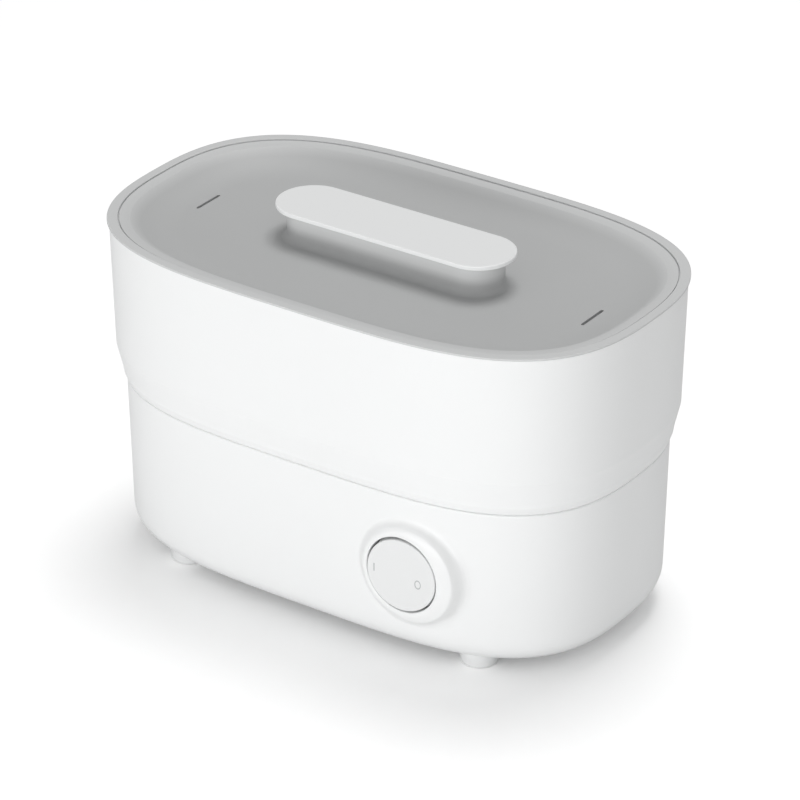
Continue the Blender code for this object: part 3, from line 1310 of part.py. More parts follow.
def lid_shell(finish, pivot):
    under_z = LID_FLOOR_Z - LID_WALL
    skirt_outer = CHAMBER_TOP_INSET + WALL + LID_SKIRT_FIT
    skirt_inner = skirt_outer + LID_SKIRT_DRAFT + LID_SKIRT_WALL
    dish_start = LID_RIM_WIDTH + LID_BAND_WIDTH
    fall = LID_DEPTH - LID_BAND_DEPTH
    dish = [
        (dish_start + LID_DISH_WIDTH * share, RIM_Z - LID_BAND_DEPTH - fall * share * (2 - share))
        for share in LID_DISH_SHARES]
    below = [(inset, z - LID_WALL) for inset, z in dish]
    floor_inset = dish_start + LID_DISH_WIDTH
    profile = [(floor_inset, LID_FLOOR_Z)] + dish[::-1]
    profile += [
        (dish_start, RIM_Z - LID_BAND_DEPTH), (LID_RIM_WIDTH + LID_EDGE / 2, RIM_Z - 2 * LID_EDGE),
        (LID_RIM_WIDTH - LID_EDGE, RIM_Z), (LID_EDGE, RIM_Z), (0, RIM_Z - LID_EDGE),
        (0, RIM_Z - LID_RIM_THICKNESS + LID_EDGE / 2), (LID_EDGE / 2, RIM_Z - LID_RIM_THICKNESS),
        (skirt_outer, RIM_Z - LID_RIM_THICKNESS),
        (skirt_outer + LID_SKIRT_DRAFT, RIM_Z - LID_SKIRT_DEPTH),
        (skirt_inner, RIM_Z - LID_SKIRT_DEPTH),
        (skirt_inner, RIM_Z - LID_BAND_DEPTH - LID_WALL)]
    profile += below + [(floor_inset, under_z)]
    item = loft("lid_shell", shell_sections(profile), finish)
    foot = PEDESTAL_FILLET
    outer = []
    for share in PEDESTAL_FILLET_SHARES:
        turn = math.pi / 2 * share
        out = foot * (1 - math.sin(turn))
        points = stadium(PEDESTAL_HALF_LENGTH + out, PEDESTAL_HALF_WIDTH + out)
        outer.append((points, LID_FLOOR_Z + foot * (1 - math.cos(turn))))
    outer.insert(0, (outer[0][0], LID_FLOOR_Z - LID_WALL / 2))
    outer.append((stadium(PEDESTAL_HALF_LENGTH, PEDESTAL_HALF_WIDTH), PEDESTAL_TOP_Z))
    boolean(item, loft("lid_pedestal_join", outer, group=CUTTERS), "UNION")
    hollow = stadium(PEDESTAL_HALF_LENGTH - LID_WALL, PEDESTAL_HALF_WIDTH - LID_WALL)
    hollow_top = PEDESTAL_TOP_Z - LID_WALL
    inside = loft(
        "lid_hollow_cut", [(hollow, under_z - OVERRUN), (hollow, hollow_top)], group=CUTTERS)
    boolean(item, inside)
    holes = bmesh.new()
    for side in (1, -1):
        add_box(
            holes, (side * SLIT_X - SLIT_HALF_WIDTH, side * SLIT_X + SLIT_HALF_WIDTH),
            (-SLIT_HALF_LENGTH, SLIT_HALF_LENGTH), (under_z - OVERRUN, LID_FLOOR_Z + OVERRUN))
        add_cylinder(
            holes, side * HANDLE_POST_X, 0, (hollow_top - OVERRUN / 2, PEDESTAL_TOP_Z + OVERRUN),
            HANDLE_POST_RADIUS + GAP)
    cut(item, holes)
    hold([item], pivot)
    return item


HANDLE_LOW_Z = PEDESTAL_TOP_Z + GAP
HANDLE_TOP_Z = HANDLE_LOW_Z + HANDLE_THICKNESS
POST_END_Z = PEDESTAL_TOP_Z - LID_WALL


def handle_plate(finish, screw_finish, pivot):
    levels = [(HANDLE_EDGE, HANDLE_LOW_Z), (0, HANDLE_LOW_Z + HANDLE_EDGE / 2)]
    levels += [
        (HANDLE_EDGE * inward, HANDLE_TOP_Z - HANDLE_EDGE * down) for inward, down in HANDLE_EDGE_SHARES]
    sections = [(stadium(PLATE_HALF_LENGTH - inset, PLATE_HALF_WIDTH - inset), z) for inset, z in levels]
    item = loft("handle_plate", sections, finish)
    posts = bmesh.new()
    pilots = bmesh.new()
    for side in (1, -1):
        add_cylinder(
            posts, side * HANDLE_POST_X, 0, (POST_END_Z, HANDLE_LOW_Z + HANDLE_THICKNESS / 4),
            HANDLE_POST_RADIUS)
        add_cylinder(
            pilots, side * HANDLE_POST_X, 0, (POST_END_Z - OVERRUN, POST_END_Z + HANDLE_PILOT_DEPTH),
            HANDLE_SCREW_RADIUS + GAP, sides=COARSE_SIDES)
    join(item, posts)
    cut(item, pilots)
    screws = []
    for name, side in (("left", -1), ("right", 1)):
        screw = turned("handle_screw_" + name, screw_profile(
            HANDLE_SCREW_HEAD_RADIUS, HANDLE_SCREW_HEAD, HANDLE_SCREW_RADIUS, HANDLE_PILOT_DEPTH),
            screw_finish, sides=MEDIUM_SIDES)
        screw.location = (side * HANDLE_POST_X, 0, POST_END_Z - GAP)
        screws.append(screw)
    bpy.context.view_layer.update()
    hold([item, *screws], pivot)
    return item


# Wires, each along a smooth curve through its own route

def smooth_route(route):
    points = [Vector(place) for place in route]
    ends = [2 * points[0] - points[1]] + points + [2 * points[-1] - points[-2]]
    made = []
    for index in range(1, len(ends) - 2):
        before, start, stop, after = ends[index - 1:index + 3]
        steps = max(1, round((stop - start).length / WIRE_STEP))
        for step in range(steps):
            t = step / steps
            made.append(0.5 * (
                2 * start + (stop - before) * t
                + (2 * before - 5 * start + 4 * stop - after) * t ** 2
                + (3 * start - before - 3 * stop + after) * t ** 3))
    made.append(points[-1])
    return made


def laid(shares, z=WIRE_LAY):
    return [(x * CLAMP_OUTER, y * CLAMP_OUTER, z) for x, y in shares]


def block_end(index):
    # the last two places of a wire that runs into the front of the block
    x = BLOCK_X + index * BLOCK_PITCH
    y = BLOCK_Y - BLOCK_HALF_WIDTH - GAP
    z = COVER_TOP_Z + GAP + BLOCK_HEIGHT / 2
    return [(x, y - WIRE_LEAD, z), (x, y, z)]


def pin_end(side):
    # the last places of a wire that turns back into a cold end of the element
    x = side * ELEMENT_END_SPREAD
    y = ELEMENT_END_REACH + GAP
    return [
        (2 * x, y + 2 * WIRE_LEAD, (WIRE_LAY + ELEMENT_Z) / 2), (x, y + 2 * WIRE_LEAD, ELEMENT_Z),
        (x, y + WIRE_LEAD, ELEMENT_Z), (x, y, ELEMENT_Z)]


def stat_end(side):
    # the last places of a wire that meets a tab of the thermostat
    x = side * (STAT_TAB_X + STAT_TAB_THICKNESS / 2 + GAP)
    z = STAT_LOW_Z - STAT_TAB / 2
    return [(x + side * WIRE_LEAD, 0, z), (x, 0, z)]


def fuse_end(side):
    x = side * (FUSE_LENGTH / 2 + GAP)
    z = PLATE_UNDER_Z - GAP - FUSE_RADIUS
    return [(x + side * WIRE_LEAD, FUSE_Y, z), (x, FUSE_Y, z)]


def switch_end(side):
    x = KNOB_X + SWITCH_OFFSET + side * SWITCH_TAB_OFFSET
    y = -(FRAME_BACK - SWITCH_BEHIND + GAP + SWITCH_TAB_THICKNESS / 2)
    z = KNOB_HEIGHT - SWITCH_HALF_LENGTH - SWITCH_TAB - GAP
    return [(x, y, WIRE_LAY + WIRE_LEAD), (x, y, z - 2 * WIRE_LEAD), (x, y, z)]


def wires(brown, red, blue, green):
    stat_lead = (STAT_TAB_X - STUD_X, FUSE_Y / 2, (STAT_LOW_Z + ELEMENT_Z) / 2)
    earth_lead = (-STUD_X, 0, BRACKET_LOW_Z - 2 * GAP - BRACKET_SCREW_HEAD - WIRE_RADIUS)
    runs = (
        ("wire_live", brown, block_end(-1)[::-1] + laid(LIVE_ROUTE_SHARES) + switch_end(-1)),
        ("wire_switched", brown, switch_end(1)[::-1] + laid(SWITCHED_ROUTE_SHARES) + stat_end(1)),
        ("wire_thermostat", red, stat_end(-1)[::-1] + [stat_lead] + fuse_end(-1)),
        ("wire_fused", red, fuse_end(1)[::-1] + laid(FUSED_ROUTE_SHARES) + pin_end(1)),
        ("wire_neutral", blue, block_end(1)[::-1] + laid(NEUTRAL_ROUTE_SHARES)[::-1] + pin_end(-1)),
        ("wire_earth", green, block_end(0)[::-1] + laid(EARTH_ROUTE_SHARES) + [earth_lead]))
    for name, finish, route in runs:
        tube(name, smooth_route(route), WIRE_RADIUS, finish)


def build():
    white = material("white_polypropylene", WHITE, 0.28)
    knob_white = material("white_abs", WARM_WHITE, 0.35)
    grey = material("grey_polypropylene", GREY, 0.38)
    natural = material("natural_polypropylene", NATURAL, 0.42)
    steel = material("stainless_steel", STEEL, 0.28, 1)
    zinc = material("zinc_plated_steel", ZINC, 0.35, 1)
    black = material("black_phenolic", BLACK, 0.5)
    silicone = material("silicone_rubber", SILICONE, 0.6)
    foot_rubber = material("white_rubber", FOOT_WHITE, 0.6)
    base_pivot = new_pivot("base", (0, 0, 0))
    chamber_pivot = new_pivot("chamber_lift", (0, 0, CHAMBER_BOTTOM_Z), base_pivot)
    basket_pivot = new_pivot("basket_lift", (0, 0, BASKET_FLANGE_LOW_Z), chamber_pivot)
    tray_pivot = new_pivot("tray_lift", (0, 0, CHAMBER_TOP_Z - TRAY_LEDGE_DEPTH), basket_pivot)
    lid_pivot = new_pivot("lid_lift", (0, 0, RIM_Z), tray_pivot)
    rocker_pivot = new_pivot("rocker_hinge", (KNOB_X, -ROCKER_AXIS, KNOB_HEIGHT), base_pivot)
    plunger_pivot = new_pivot(
        "plunger_slide", (KNOB_X + SWITCH_OFFSET, -SWITCH_FRONT, KNOB_HEIGHT), base_pivot)
    base_housing(white)
    water_tub(white)
    bottom_cover(white)
    base_screws(zinc)
    feet(foot_rubber)
    plate_group(steel, silicone, zinc)
    heating_element(steel)
    thermostat(black)
    thermostat_bracket(zinc, zinc)
    thermal_fuse(knob_white)
    switch_frame(knob_white)
    frame_screws(zinc)
    microswitch(black)
    pivot_pin(steel)
    rocker_button(knob_white, rocker_pivot)
    switch_plunger(natural, plunger_pivot)
    cord_gland(white, black)
    terminal_block(knob_white)
    wires(
        material("brown_pvc", BROWN, 0.4), material("red_silicone", RED, 0.45),
        material("blue_pvc", BLUE, 0.4), material("green_yellow_pvc", GREEN, 0.4))
    steam_chamber(white, chamber_pivot)
    bottle_basket(natural, basket_pivot)
    accessory_tray(natural, tray_pivot)
    lid_shell(grey, lid_pivot)
    handle_plate(white, zinc, lid_pivot)


build()
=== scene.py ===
"""Looks of the electric steam sterilizer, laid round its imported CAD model."""

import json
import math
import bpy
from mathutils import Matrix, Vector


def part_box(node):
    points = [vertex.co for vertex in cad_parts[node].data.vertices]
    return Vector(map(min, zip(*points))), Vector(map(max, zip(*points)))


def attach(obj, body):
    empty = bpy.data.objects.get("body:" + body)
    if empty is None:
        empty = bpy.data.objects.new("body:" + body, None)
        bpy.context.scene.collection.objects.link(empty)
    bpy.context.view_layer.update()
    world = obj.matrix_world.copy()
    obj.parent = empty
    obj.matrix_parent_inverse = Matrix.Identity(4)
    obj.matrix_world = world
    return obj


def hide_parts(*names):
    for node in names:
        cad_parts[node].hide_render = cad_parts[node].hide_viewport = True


bl_info = {
    "name": "Electric steam sterilizer",
    "version": (1, 0, 0),
    "blender": (4, 5, 0),
    "location": "View3D > Sidebar > Sterilizer",
    "description": "Builds the sterilizer's visible shells, finishes and studio",
    "category": "Object",
}

import bmesh
import bpy
from bpy.props import FloatProperty, FloatVectorProperty, PointerProperty
from mathutils import Matrix, Vector

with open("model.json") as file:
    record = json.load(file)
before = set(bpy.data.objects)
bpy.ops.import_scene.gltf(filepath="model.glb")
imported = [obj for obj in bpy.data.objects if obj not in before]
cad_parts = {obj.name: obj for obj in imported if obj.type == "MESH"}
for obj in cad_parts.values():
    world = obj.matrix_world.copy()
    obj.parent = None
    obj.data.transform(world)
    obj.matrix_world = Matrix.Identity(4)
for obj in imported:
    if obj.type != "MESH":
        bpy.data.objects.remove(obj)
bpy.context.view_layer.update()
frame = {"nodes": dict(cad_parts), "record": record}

MM = 0.001
MERGE = 0.000002
GAP = 0.0003
WALL = 0.0025

# Levels of the outer form and how far each lies inside the lid's edge
BASE_LOW_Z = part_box("base_housing")[0].z
BASE_TOP_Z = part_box("base_housing")[1].z
CHAMBER_LOW_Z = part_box("steam_chamber")[0].z
CHAMBER_TOP_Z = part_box("steam_chamber")[1].z
RIM_Z = CHAMBER_TOP_Z + 0.0013
BAND_LOW_Z = BASE_TOP_Z + 0.0044
BAND_TOP_Z = BAND_LOW_Z + 0.0022
WALL_LOW_Z = BAND_TOP_Z + 0.0115
TOP_INSET = 0.0009
WALL_LOW_INSET = 0.00225
BAND_TOP_INSET = 0.0047
BAND_LOW_INSET = 0.0049
BASE_TOP_INSET = 0.0064
BASE_LOW_INSET = 0.0077

# How far the chamber's lower edge is drawn down to the base
SEAM_CLOSED = 0.0003

# The four places of the feet and screws
PLACES = ("front_left", "front_right", "rear_left", "rear_right")

# Points round a shell, and along a rounded corner
RING_POINTS = 264
CORNER_STEPS = 4


def linear(hex_colour):
    """Turns an sRGB hex colour to linear red, green and blue."""
    values = [int(hex_colour[start:start + 2], 16) / 255 for start in (0, 2, 4)]
    return [v / 12.92 if v <= 0.04045 else ((v + 0.055) / 1.055) ** 2.4 for v in values]


# Sizes and colours that a user would change

def length_prop(name, text, value):
    return FloatProperty(name=name, description=text, default=value, min=0, unit="LENGTH", precision=5)


def colour_prop(name, text, hex_colour):
    return FloatVectorProperty(
        name=name, description=text, default=linear(hex_colour), size=3, min=0, max=1, subtype="COLOR")


class SterilizerSizes(bpy.types.PropertyGroup):
    """Sizes of the outer form and its controls"""
    length: length_prop("Length", "Length over the lid's edge", 0.280)
    width: length_prop("Width", "Width over the lid's edge", 0.1688)
    end_power: FloatProperty(
        name="End power", description="Squareness of the outline at its ends", default=3.66, min=1)
    side_power: FloatProperty(
        name="Side power", description="Squareness of the outline at its sides", default=2.68, min=1)
    knob_x: length_prop("Switch place", "Distance of the switch from the middle", 0.0585)
    knob_z: length_prop("Switch height", "Height of the switch's middle", 0.0497)
    bore_radius: length_prop("Switch bore", "Radius of the bore round the switch", 0.0190)
    collar_front: length_prop(
        "Collar front", "Distance of the collar's lip in front of the middle", 0.08044)
    lid_depth: length_prop("Lid depth", "Depth of the dish in the lid", 0.0088)
    handle_length: length_prop("Handle length", "Length of the handle plate", 0.128)
    handle_width: length_prop("Handle width", "Width of the handle plate", 0.036)


class SterilizerColours(bpy.types.PropertyGroup):
    """Colours of the mouldings and of the stage"""
    shell: colour_prop("Shell", "White polypropylene of the base and chamber", "F3F4F4")
    lid: colour_prop("Lid", "Grey polypropylene of the lid", "BCBDBD")
    # painted light: the rim's paler grey stands in for the light the rim catches
    rim: colour_prop("Lid rim", "Paler grey where the lid's rim is thin", "D2D3D3")
    rocker: colour_prop("Rocker", "White ABS of the rocker", "E9EAEA")
    mark: colour_prop("Mark", "Grey print of the switch marks", "B9BBBC")
    feet: colour_prop("Feet", "White rubber of the feet", "E4E5E5")
    natural: colour_prop("Basket", "Natural polypropylene of the basket and tray", "E3E7E9")
    floor: colour_prop("Floor", "Pale floor under the sterilizer", "E8E8E8")


class SterilizerStage(bpy.types.PropertyGroup):
    """Camera and studio light"""
    azimuth: FloatProperty(
        name="Azimuth", description="Camera's turn round the object", subtype="ANGLE",
        default=math.radians(34.447))
    elevation: FloatProperty(
        name="Elevation", description="Camera's height angle", subtype="ANGLE",
        default=math.radians(28.021))
    distance: length_prop("Distance", "Camera's distance from the lid", 1.9199)
    lens: FloatProperty(
        name="Lens", description="Focal length on a 36 mm sensor", default=186.68, min=1, unit="CAMERA")
    key: FloatProperty(
        name="Front light", description="Power of the low front light", default=21, min=0)
    top: FloatProperty(
        name="Top light", description="Power of the light above and behind", default=17, min=0)
    fill: FloatProperty(
        name="Surroundings", description="Strength of the even light", default=0.43, min=0)


# Outlines and profiles

def outline_place(turn, inset):
    """A point of the outline, drawn in by the inset, at a turn from the right."""
    sizes = bpy.context.scene.sterilizer_sizes
    across, along = math.cos(turn), math.sin(turn)
    x = (sizes.length / 2 - inset) * math.copysign(abs(across) ** (2 / sizes.end_power), across)
    y = (sizes.width / 2 - inset) * math.copysign(abs(along) ** (2 / sizes.side_power), along)
    return x, y


def even_turns(count, weigh=None):
    """Turns that lie evenly along the outline, or closer where the weight is higher."""
    fine = 6000
    lengths = [0.0]
    last = outline_place(0, 0)
    for index in range(1, fine + 1):
        place = outline_place(math.tau * index / fine, 0)
        step = math.dist(place, last) * (weigh(place) if weigh else 1)
        lengths.append(lengths[-1] + step)
        last = place
    turns = []
    index = 0
    for number in range(count):
        wanted = lengths[-1] * number / count
        while lengths[index + 1] < wanted:
            index += 1
        share = (wanted - lengths[index]) / (lengths[index + 1] - lengths[index])
        turns.append(math.tau * (index + share) / fine)
    return turns


def front_at(x, inset):
    """Distance of the outline in front of the middle."""
    sizes = bpy.context.scene.sterilizer_sizes
    half_length = sizes.length / 2 - inset
    rest = max(0.0, 1 - (abs(x) / half_length) ** sizes.end_power)
    return (sizes.width / 2 - inset) * rest ** (1 / sizes.side_power)


def rounded(corners, closed=False, steps=CORNER_STEPS):
    """Rounds a line of (across, up, radius) corners and returns its points."""
    points = []
    count = len(corners)
    for index, (a, b, radius) in enumerate(corners):
        inner = closed or 0 < index < count - 1
        if not radius or not inner:
            points.append((a, b))
            continue
        here = Vector((a, b))
        before = Vector(corners[index - 1][:2]) - here
        after = Vector(corners[(index + 1) % count][:2]) - here
        half = max(before.angle(after) / 2, 0.05)
        reach = min(radius / math.tan(half), 0.48 * before.length, 0.48 * after.length)
        start = here + before.normalized() * reach
        stop = here + after.normalized() * reach
        for step in range(steps + 1):
            t = step / steps
            point = start * (1 - t) ** 2 + here * 2 * t * (1 - t) + stop * t ** 2
            points.append((point.x, point.y))
    return points


def read_line(points, value):
    """Reads a line of (across, up) points at a value of across."""
    for (a, up_a), (b, up_b) in zip(points, points[1:]):
        if a <= value <= b and b > a:
            return up_a + (up_b - up_a) * (value - a) / (b - a)
    return points[0][1] if value < points[0][0] else points[-1][1]


def smooth_line(points, value):
    """Reads a line of points at a value, with its corners smoothed over a share on both sides."""
    reach = 0.04
    steps = [value + reach * (index - 3) / 3 for index in range(7)]
    weights = (1, 2, 3, 4, 3, 2, 1)
    reads = [read_line(points, step) for step in steps]
    return sum(read * weight for read, weight in zip(reads, weights)) / sum(weights)


# Meshes

def skin(rings, loop=False):
    """Skins rings of points that run round together, a loop closes on its first ring."""
    bm = bmesh.new()
    count = len(rings[0])
    rows = len(rings) if loop else len(rings) - 1
    bmesh.ops.create_grid(bm, x_segments=count, y_segments=rows, size=0.5)
    for vertex in bm.verts:
        column = round((vertex.co.x + 0.5) * count) % count
        row = round((vertex.co.y + 0.5) * rows) % len(rings)
        vertex.co = rings[row][column]
    bmesh.ops.remove_doubles(bm, verts=bm.verts, dist=MERGE)
    if not loop:
        open_edges = [edge for edge in bm.edges if edge.is_boundary]
        bmesh.ops.holes_fill(bm, edges=open_edges, sides=0)
    bmesh.ops.recalc_face_normals(bm, faces=bm.faces)
    return bm


def outline_ring(inset, z, turns):
    return [(*outline_place(turn, inset), z) for turn in turns]


def shell(profile, turns, loop=True):
    """Sweeps a profile of (inset, height) points round the outline."""
    return skin([outline_ring(inset, z, turns) for inset, z in profile], loop)


def turned(profile, sides=96, loop=True):
    """Turns a profile of (radius, height) points about the upright axis."""
    bm = bmesh.new()
    verts = [bm.verts.new((radius, 0, z)) for radius, z in profile]
    pairs = list(zip(verts, verts[1:])) + ([(verts[-1], verts[0])] if loop else [])
    edges = [bm.edges.new(pair) for pair in pairs]
    bmesh.ops.spin(
        bm, geom=verts + edges, cent=(0, 0, 0), axis=(0, 0, 1), angle=math.tau, steps=sides,
        use_merge=True)
    bmesh.ops.remove_doubles(bm, verts=bm.verts, dist=MERGE)
    bmesh.ops.recalc_face_normals(bm, faces=bm.faces)
    return bm


def add_block(bm, low, high):
    size = Vector(high) - Vector(low)
    middle = (Vector(high) + Vector(low)) / 2
    matrix = Matrix.Translation(middle) @ Matrix.Diagonal((*size, 1))
    return bmesh.ops.create_cube(bm, size=1, matrix=matrix)["verts"]


def add_rod(bm, place, radius, depth, axis="Z", top=None, sides=48):
    """A cylinder or taper round a place, along one axis."""
    turn = {"Z": Matrix(), "Y": Matrix.Rotation(math.pi / 2, 4, "X")}
    bmesh.ops.create_cone(
        bm, cap_ends=True, segments=sides, radius1=radius, radius2=radius if top is None else top,
        depth=depth, matrix=Matrix.Translation(place) @ turn[axis])


def add_rounded_block(bm, low, high, axis, radius, segments=5):
    """A block whose edges along one axis, given by its number, are rounded."""
    verts = set(add_block(bm, low, high))
    edges = [
        edge for edge in bm.edges
        if edge.verts[0] in verts and abs(edge.verts[0].co[axis] - edge.verts[1].co[axis]) > MERGE]
    bmesh.ops.bevel(
        bm, geom=edges, offset=radius, segments=segments, profile=0.5, affect="EDGES", material=-1)


def middle_of(node):
    """Middle of a CAD node's box, seen from above."""
    low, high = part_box(node)
    return (low.x + high.x) / 2, (low.y + high.y) / 2


def combine(bm, other, operation):
    """Adds or takes away one closed mesh and returns the new one."""
    meshes = []
    for source in (bm, other):
        mesh = bpy.data.meshes.new("work")
        source.to_mesh(mesh)
        source.free()
        meshes.append(mesh)
    items = [bpy.data.objects.new("work", mesh) for mesh in meshes]
    for item in items:
        bpy.context.scene.collection.objects.link(item)
    step = items[0].modifiers.new("work", "BOOLEAN")
    step.operation = operation
    step.solver = "EXACT"
    step.object = items[1]
    bpy.context.view_layer.update()
    graph = bpy.context.evaluated_depsgraph_get()
    result = bmesh.new()
    result.from_object(items[0], graph)
    for item, mesh in zip(items, meshes):
        bpy.data.objects.remove(item)
        bpy.data.meshes.remove(mesh)
    if not result.faces:
        raise RuntimeError("a cut left nothing of its piece")
    return result


def cut(bm, tool):
    return combine(bm, tool, "DIFFERENCE")


def join(bm, tool):
    return combine(bm, tool, "UNION")


def new_piece(name, bm, finish, body, replaced=(), sharp=38):
    """Puts a finished mesh in the scene, on its CAD body."""
    mesh = bpy.data.meshes.new(name)
    bm.to_mesh(mesh)
    bm.free()
    mesh.materials.clear()
    mesh.materials.append(finish)
    for face in mesh.polygons:
        face.material_index = 0
    mesh.shade_smooth()
    mesh.set_sharp_from_angle(angle=math.radians(sharp))
    item = bpy.data.objects.new(name, mesh)
    bpy.context.scene.collection.objects.link(item)
    normals = item.modifiers.new("even_normals", "WEIGHTED_NORMAL")
    normals.keep_sharp = True
    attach(item, body)
    if replaced:
        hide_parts(*replaced)
    return item


# Finishes

def add_node(tree, kind, settings=None, links=None):
    """Adds a node, sets its values and links its inputs from (node, output) pairs."""
    node = tree.nodes.new(kind)
    for key, value in (settings or {}).items():
        if key in node.inputs:
            node.inputs[key].default_value = value
        else:
            setattr(node, key, value)
    for key, (source, output) in (links or {}).items():
        tree.links.new(source.outputs[output], node.inputs[key])
    return node


def new_material(name, settings):
    """Starts a material and returns its tree, its shader and its coordinates."""
    made = bpy.data.materials.get(name)
    if made:
        bpy.data.materials.remove(made)
    made = bpy.data.materials.new(name)
    made.use_nodes = True
    tree = made.node_tree
    shader = tree.nodes["Principled BSDF"]
    for key, value in settings.items():
        shader.inputs[key].default_value = value
    place = add_node(tree, "ShaderNodeTexCoord")
    return made, tree, shader, place


def link_surface(tree, shader, blend, grain, tones, gloss_ends, depth):
    """Links a tint between two tones, a gloss that follows the grain, and the grain's height."""
    tint = add_node(tree, "ShaderNodeMix", {"data_type": "RGBA"}, {"Factor": (blend, "Fac")})
    for index, tone in zip((6, 7), tones):
        tint.inputs[index].default_value = (*tone, 1)
    gloss = add_node(
        tree, "ShaderNodeMapRange", {
            "From Min": 0.3, "From Max": 0.7, "To Min": gloss_ends[0], "To Max": gloss_ends[1]},
        {"Value": (grain, "Fac")})
    bump = add_node(
        tree, "ShaderNodeBump", {"Strength": 1.0, "Distance": depth}, {"Height": (grain, "Fac")})
    tree.links.new(tint.outputs[2], shader.inputs["Base Color"])
    tree.links.new(gloss.outputs["Result"], shader.inputs["Roughness"])
    tree.links.new(bump.outputs["Normal"], shader.inputs["Normal"])


def moulded(name, colour, roughness, grain, depth, ior=1.49, flow=0.02, extra=None):
    """A moulded plastic or rubber: fine grain from the tool, faint flow in colour and gloss."""
    made, tree, shader, place = new_material(name, {"IOR": ior, **(extra or {})})
    slow = add_node(
        tree, "ShaderNodeTexNoise", {"Scale": 1 / (45 * MM), "Detail": 3, "Roughness": 0.5},
        {"Vector": (place, "Object")})
    fine = add_node(
        tree, "ShaderNodeTexNoise", {"Scale": 1 / grain, "Detail": 2, "Roughness": 0.6},
        {"Vector": (place, "Object")})
    tones = [[min(1, channel * (1 + change)) for channel in colour] for change in (-flow, flow)]
    link_surface(tree, shader, slow, fine, tones, (roughness * 0.96, roughness * 1.04), depth)
    return made


def painted_rim_light(made):
    """Mixes a paler grey in by height towards the lid's rim: painted light, standing in for the brighter
    light the rim catches.
    """
    tree = made.node_tree
    shader = tree.nodes["Principled BSDF"]
    tint = shader.inputs["Base Color"].links[0].from_socket
    place = add_node(tree, "ShaderNodeTexCoord")
    apart = add_node(tree, "ShaderNodeSeparateXYZ", links={"Vector": (place, "Object")})
    # painted light: the share rises with height up to the rim, where the paler grey is mixed in
    share = add_node(
        tree, "ShaderNodeMapRange", {
            "From Min": RIM_Z - 0.0042, "From Max": RIM_Z - 0.0002, "To Min": 0.0, "To Max": 1.0},
        {"Value": (apart, "Z")})
    pale = add_node(tree, "ShaderNodeMix", {"data_type": "RGBA"}, {"Factor": (share, "Result")})
    tree.links.new(tint, pale.inputs[6])
    pale.inputs[7].default_value = (*bpy.context.scene.sterilizer_colours.rim, 1)
    tree.links.new(pale.outputs[2], shader.inputs["Base Color"])
    return made


def metal(name, hex_colour, roughness, line, depth, rings=False):
    """A drawn or spun metal: fine lines in gloss and height."""
    made, tree, shader, place = new_material(name, {"Metallic": 1.0})
    if rings:
        # lines run in circles round the upright axis, as a spinning tool leaves them
        apart = add_node(tree, "ShaderNodeSeparateXYZ", links={"Vector": (place, "Object")})
        flat = add_node(
            tree, "ShaderNodeCombineXYZ", links={"X": (apart, "X"), "Y": (apart, "Y")})
        radius = add_node(
            tree, "ShaderNodeVectorMath", {"operation": "LENGTH"}, {"Vector": (flat, "Vector")})
        field = add_node(tree, "ShaderNodeCombineXYZ", links={"X": (radius, "Value")})
    else:
        field = add_node(
            tree, "ShaderNodeMapping", {"Scale": (1, 1, 0.08)}, {"Vector": (place, "Object")})
    lines = add_node(
        tree, "ShaderNodeTexNoise", {"Scale": 1 / line, "Detail": 4}, {"Vector": (field, "Vector")})
    colour = linear(hex_colour)
    tones = [[min(1, channel * change) for channel in colour] for change in (0.92, 1.06)]
    link_surface(tree, shader, lines, lines, tones, (roughness * 0.75, roughness * 1.25), depth)
    return made


def striped_pvc():
    """Green wire insulation with a yellow stripe, extruded, so the stripe follows the wire."""
    made, tree, shader, place = new_material(
        "extruded green and yellow PVC", {"IOR": 1.53, "Roughness": 0.4})
    wave = add_node(
        tree, "ShaderNodeTexWave", {
            "wave_type": "BANDS", "bands_direction": "DIAGONAL", "Scale": 1 / (9 * MM), "Distortion": 0.4},
        {"Vector": (place, "Object")})
    ramp = add_node(tree, "ShaderNodeValToRGB", links={"Fac": (wave, "Fac")})
    ramp.color_ramp.elements[0].position = 0.55
    ramp.color_ramp.elements[0].color = (*linear("3F8F2E"), 1)
    ramp.color_ramp.elements[1].position = 0.62
    ramp.color_ramp.elements[1].color = (*linear("E8D21E"), 1)
    tree.links.new(ramp.outputs["Color"], shader.inputs["Base Color"])
    return made


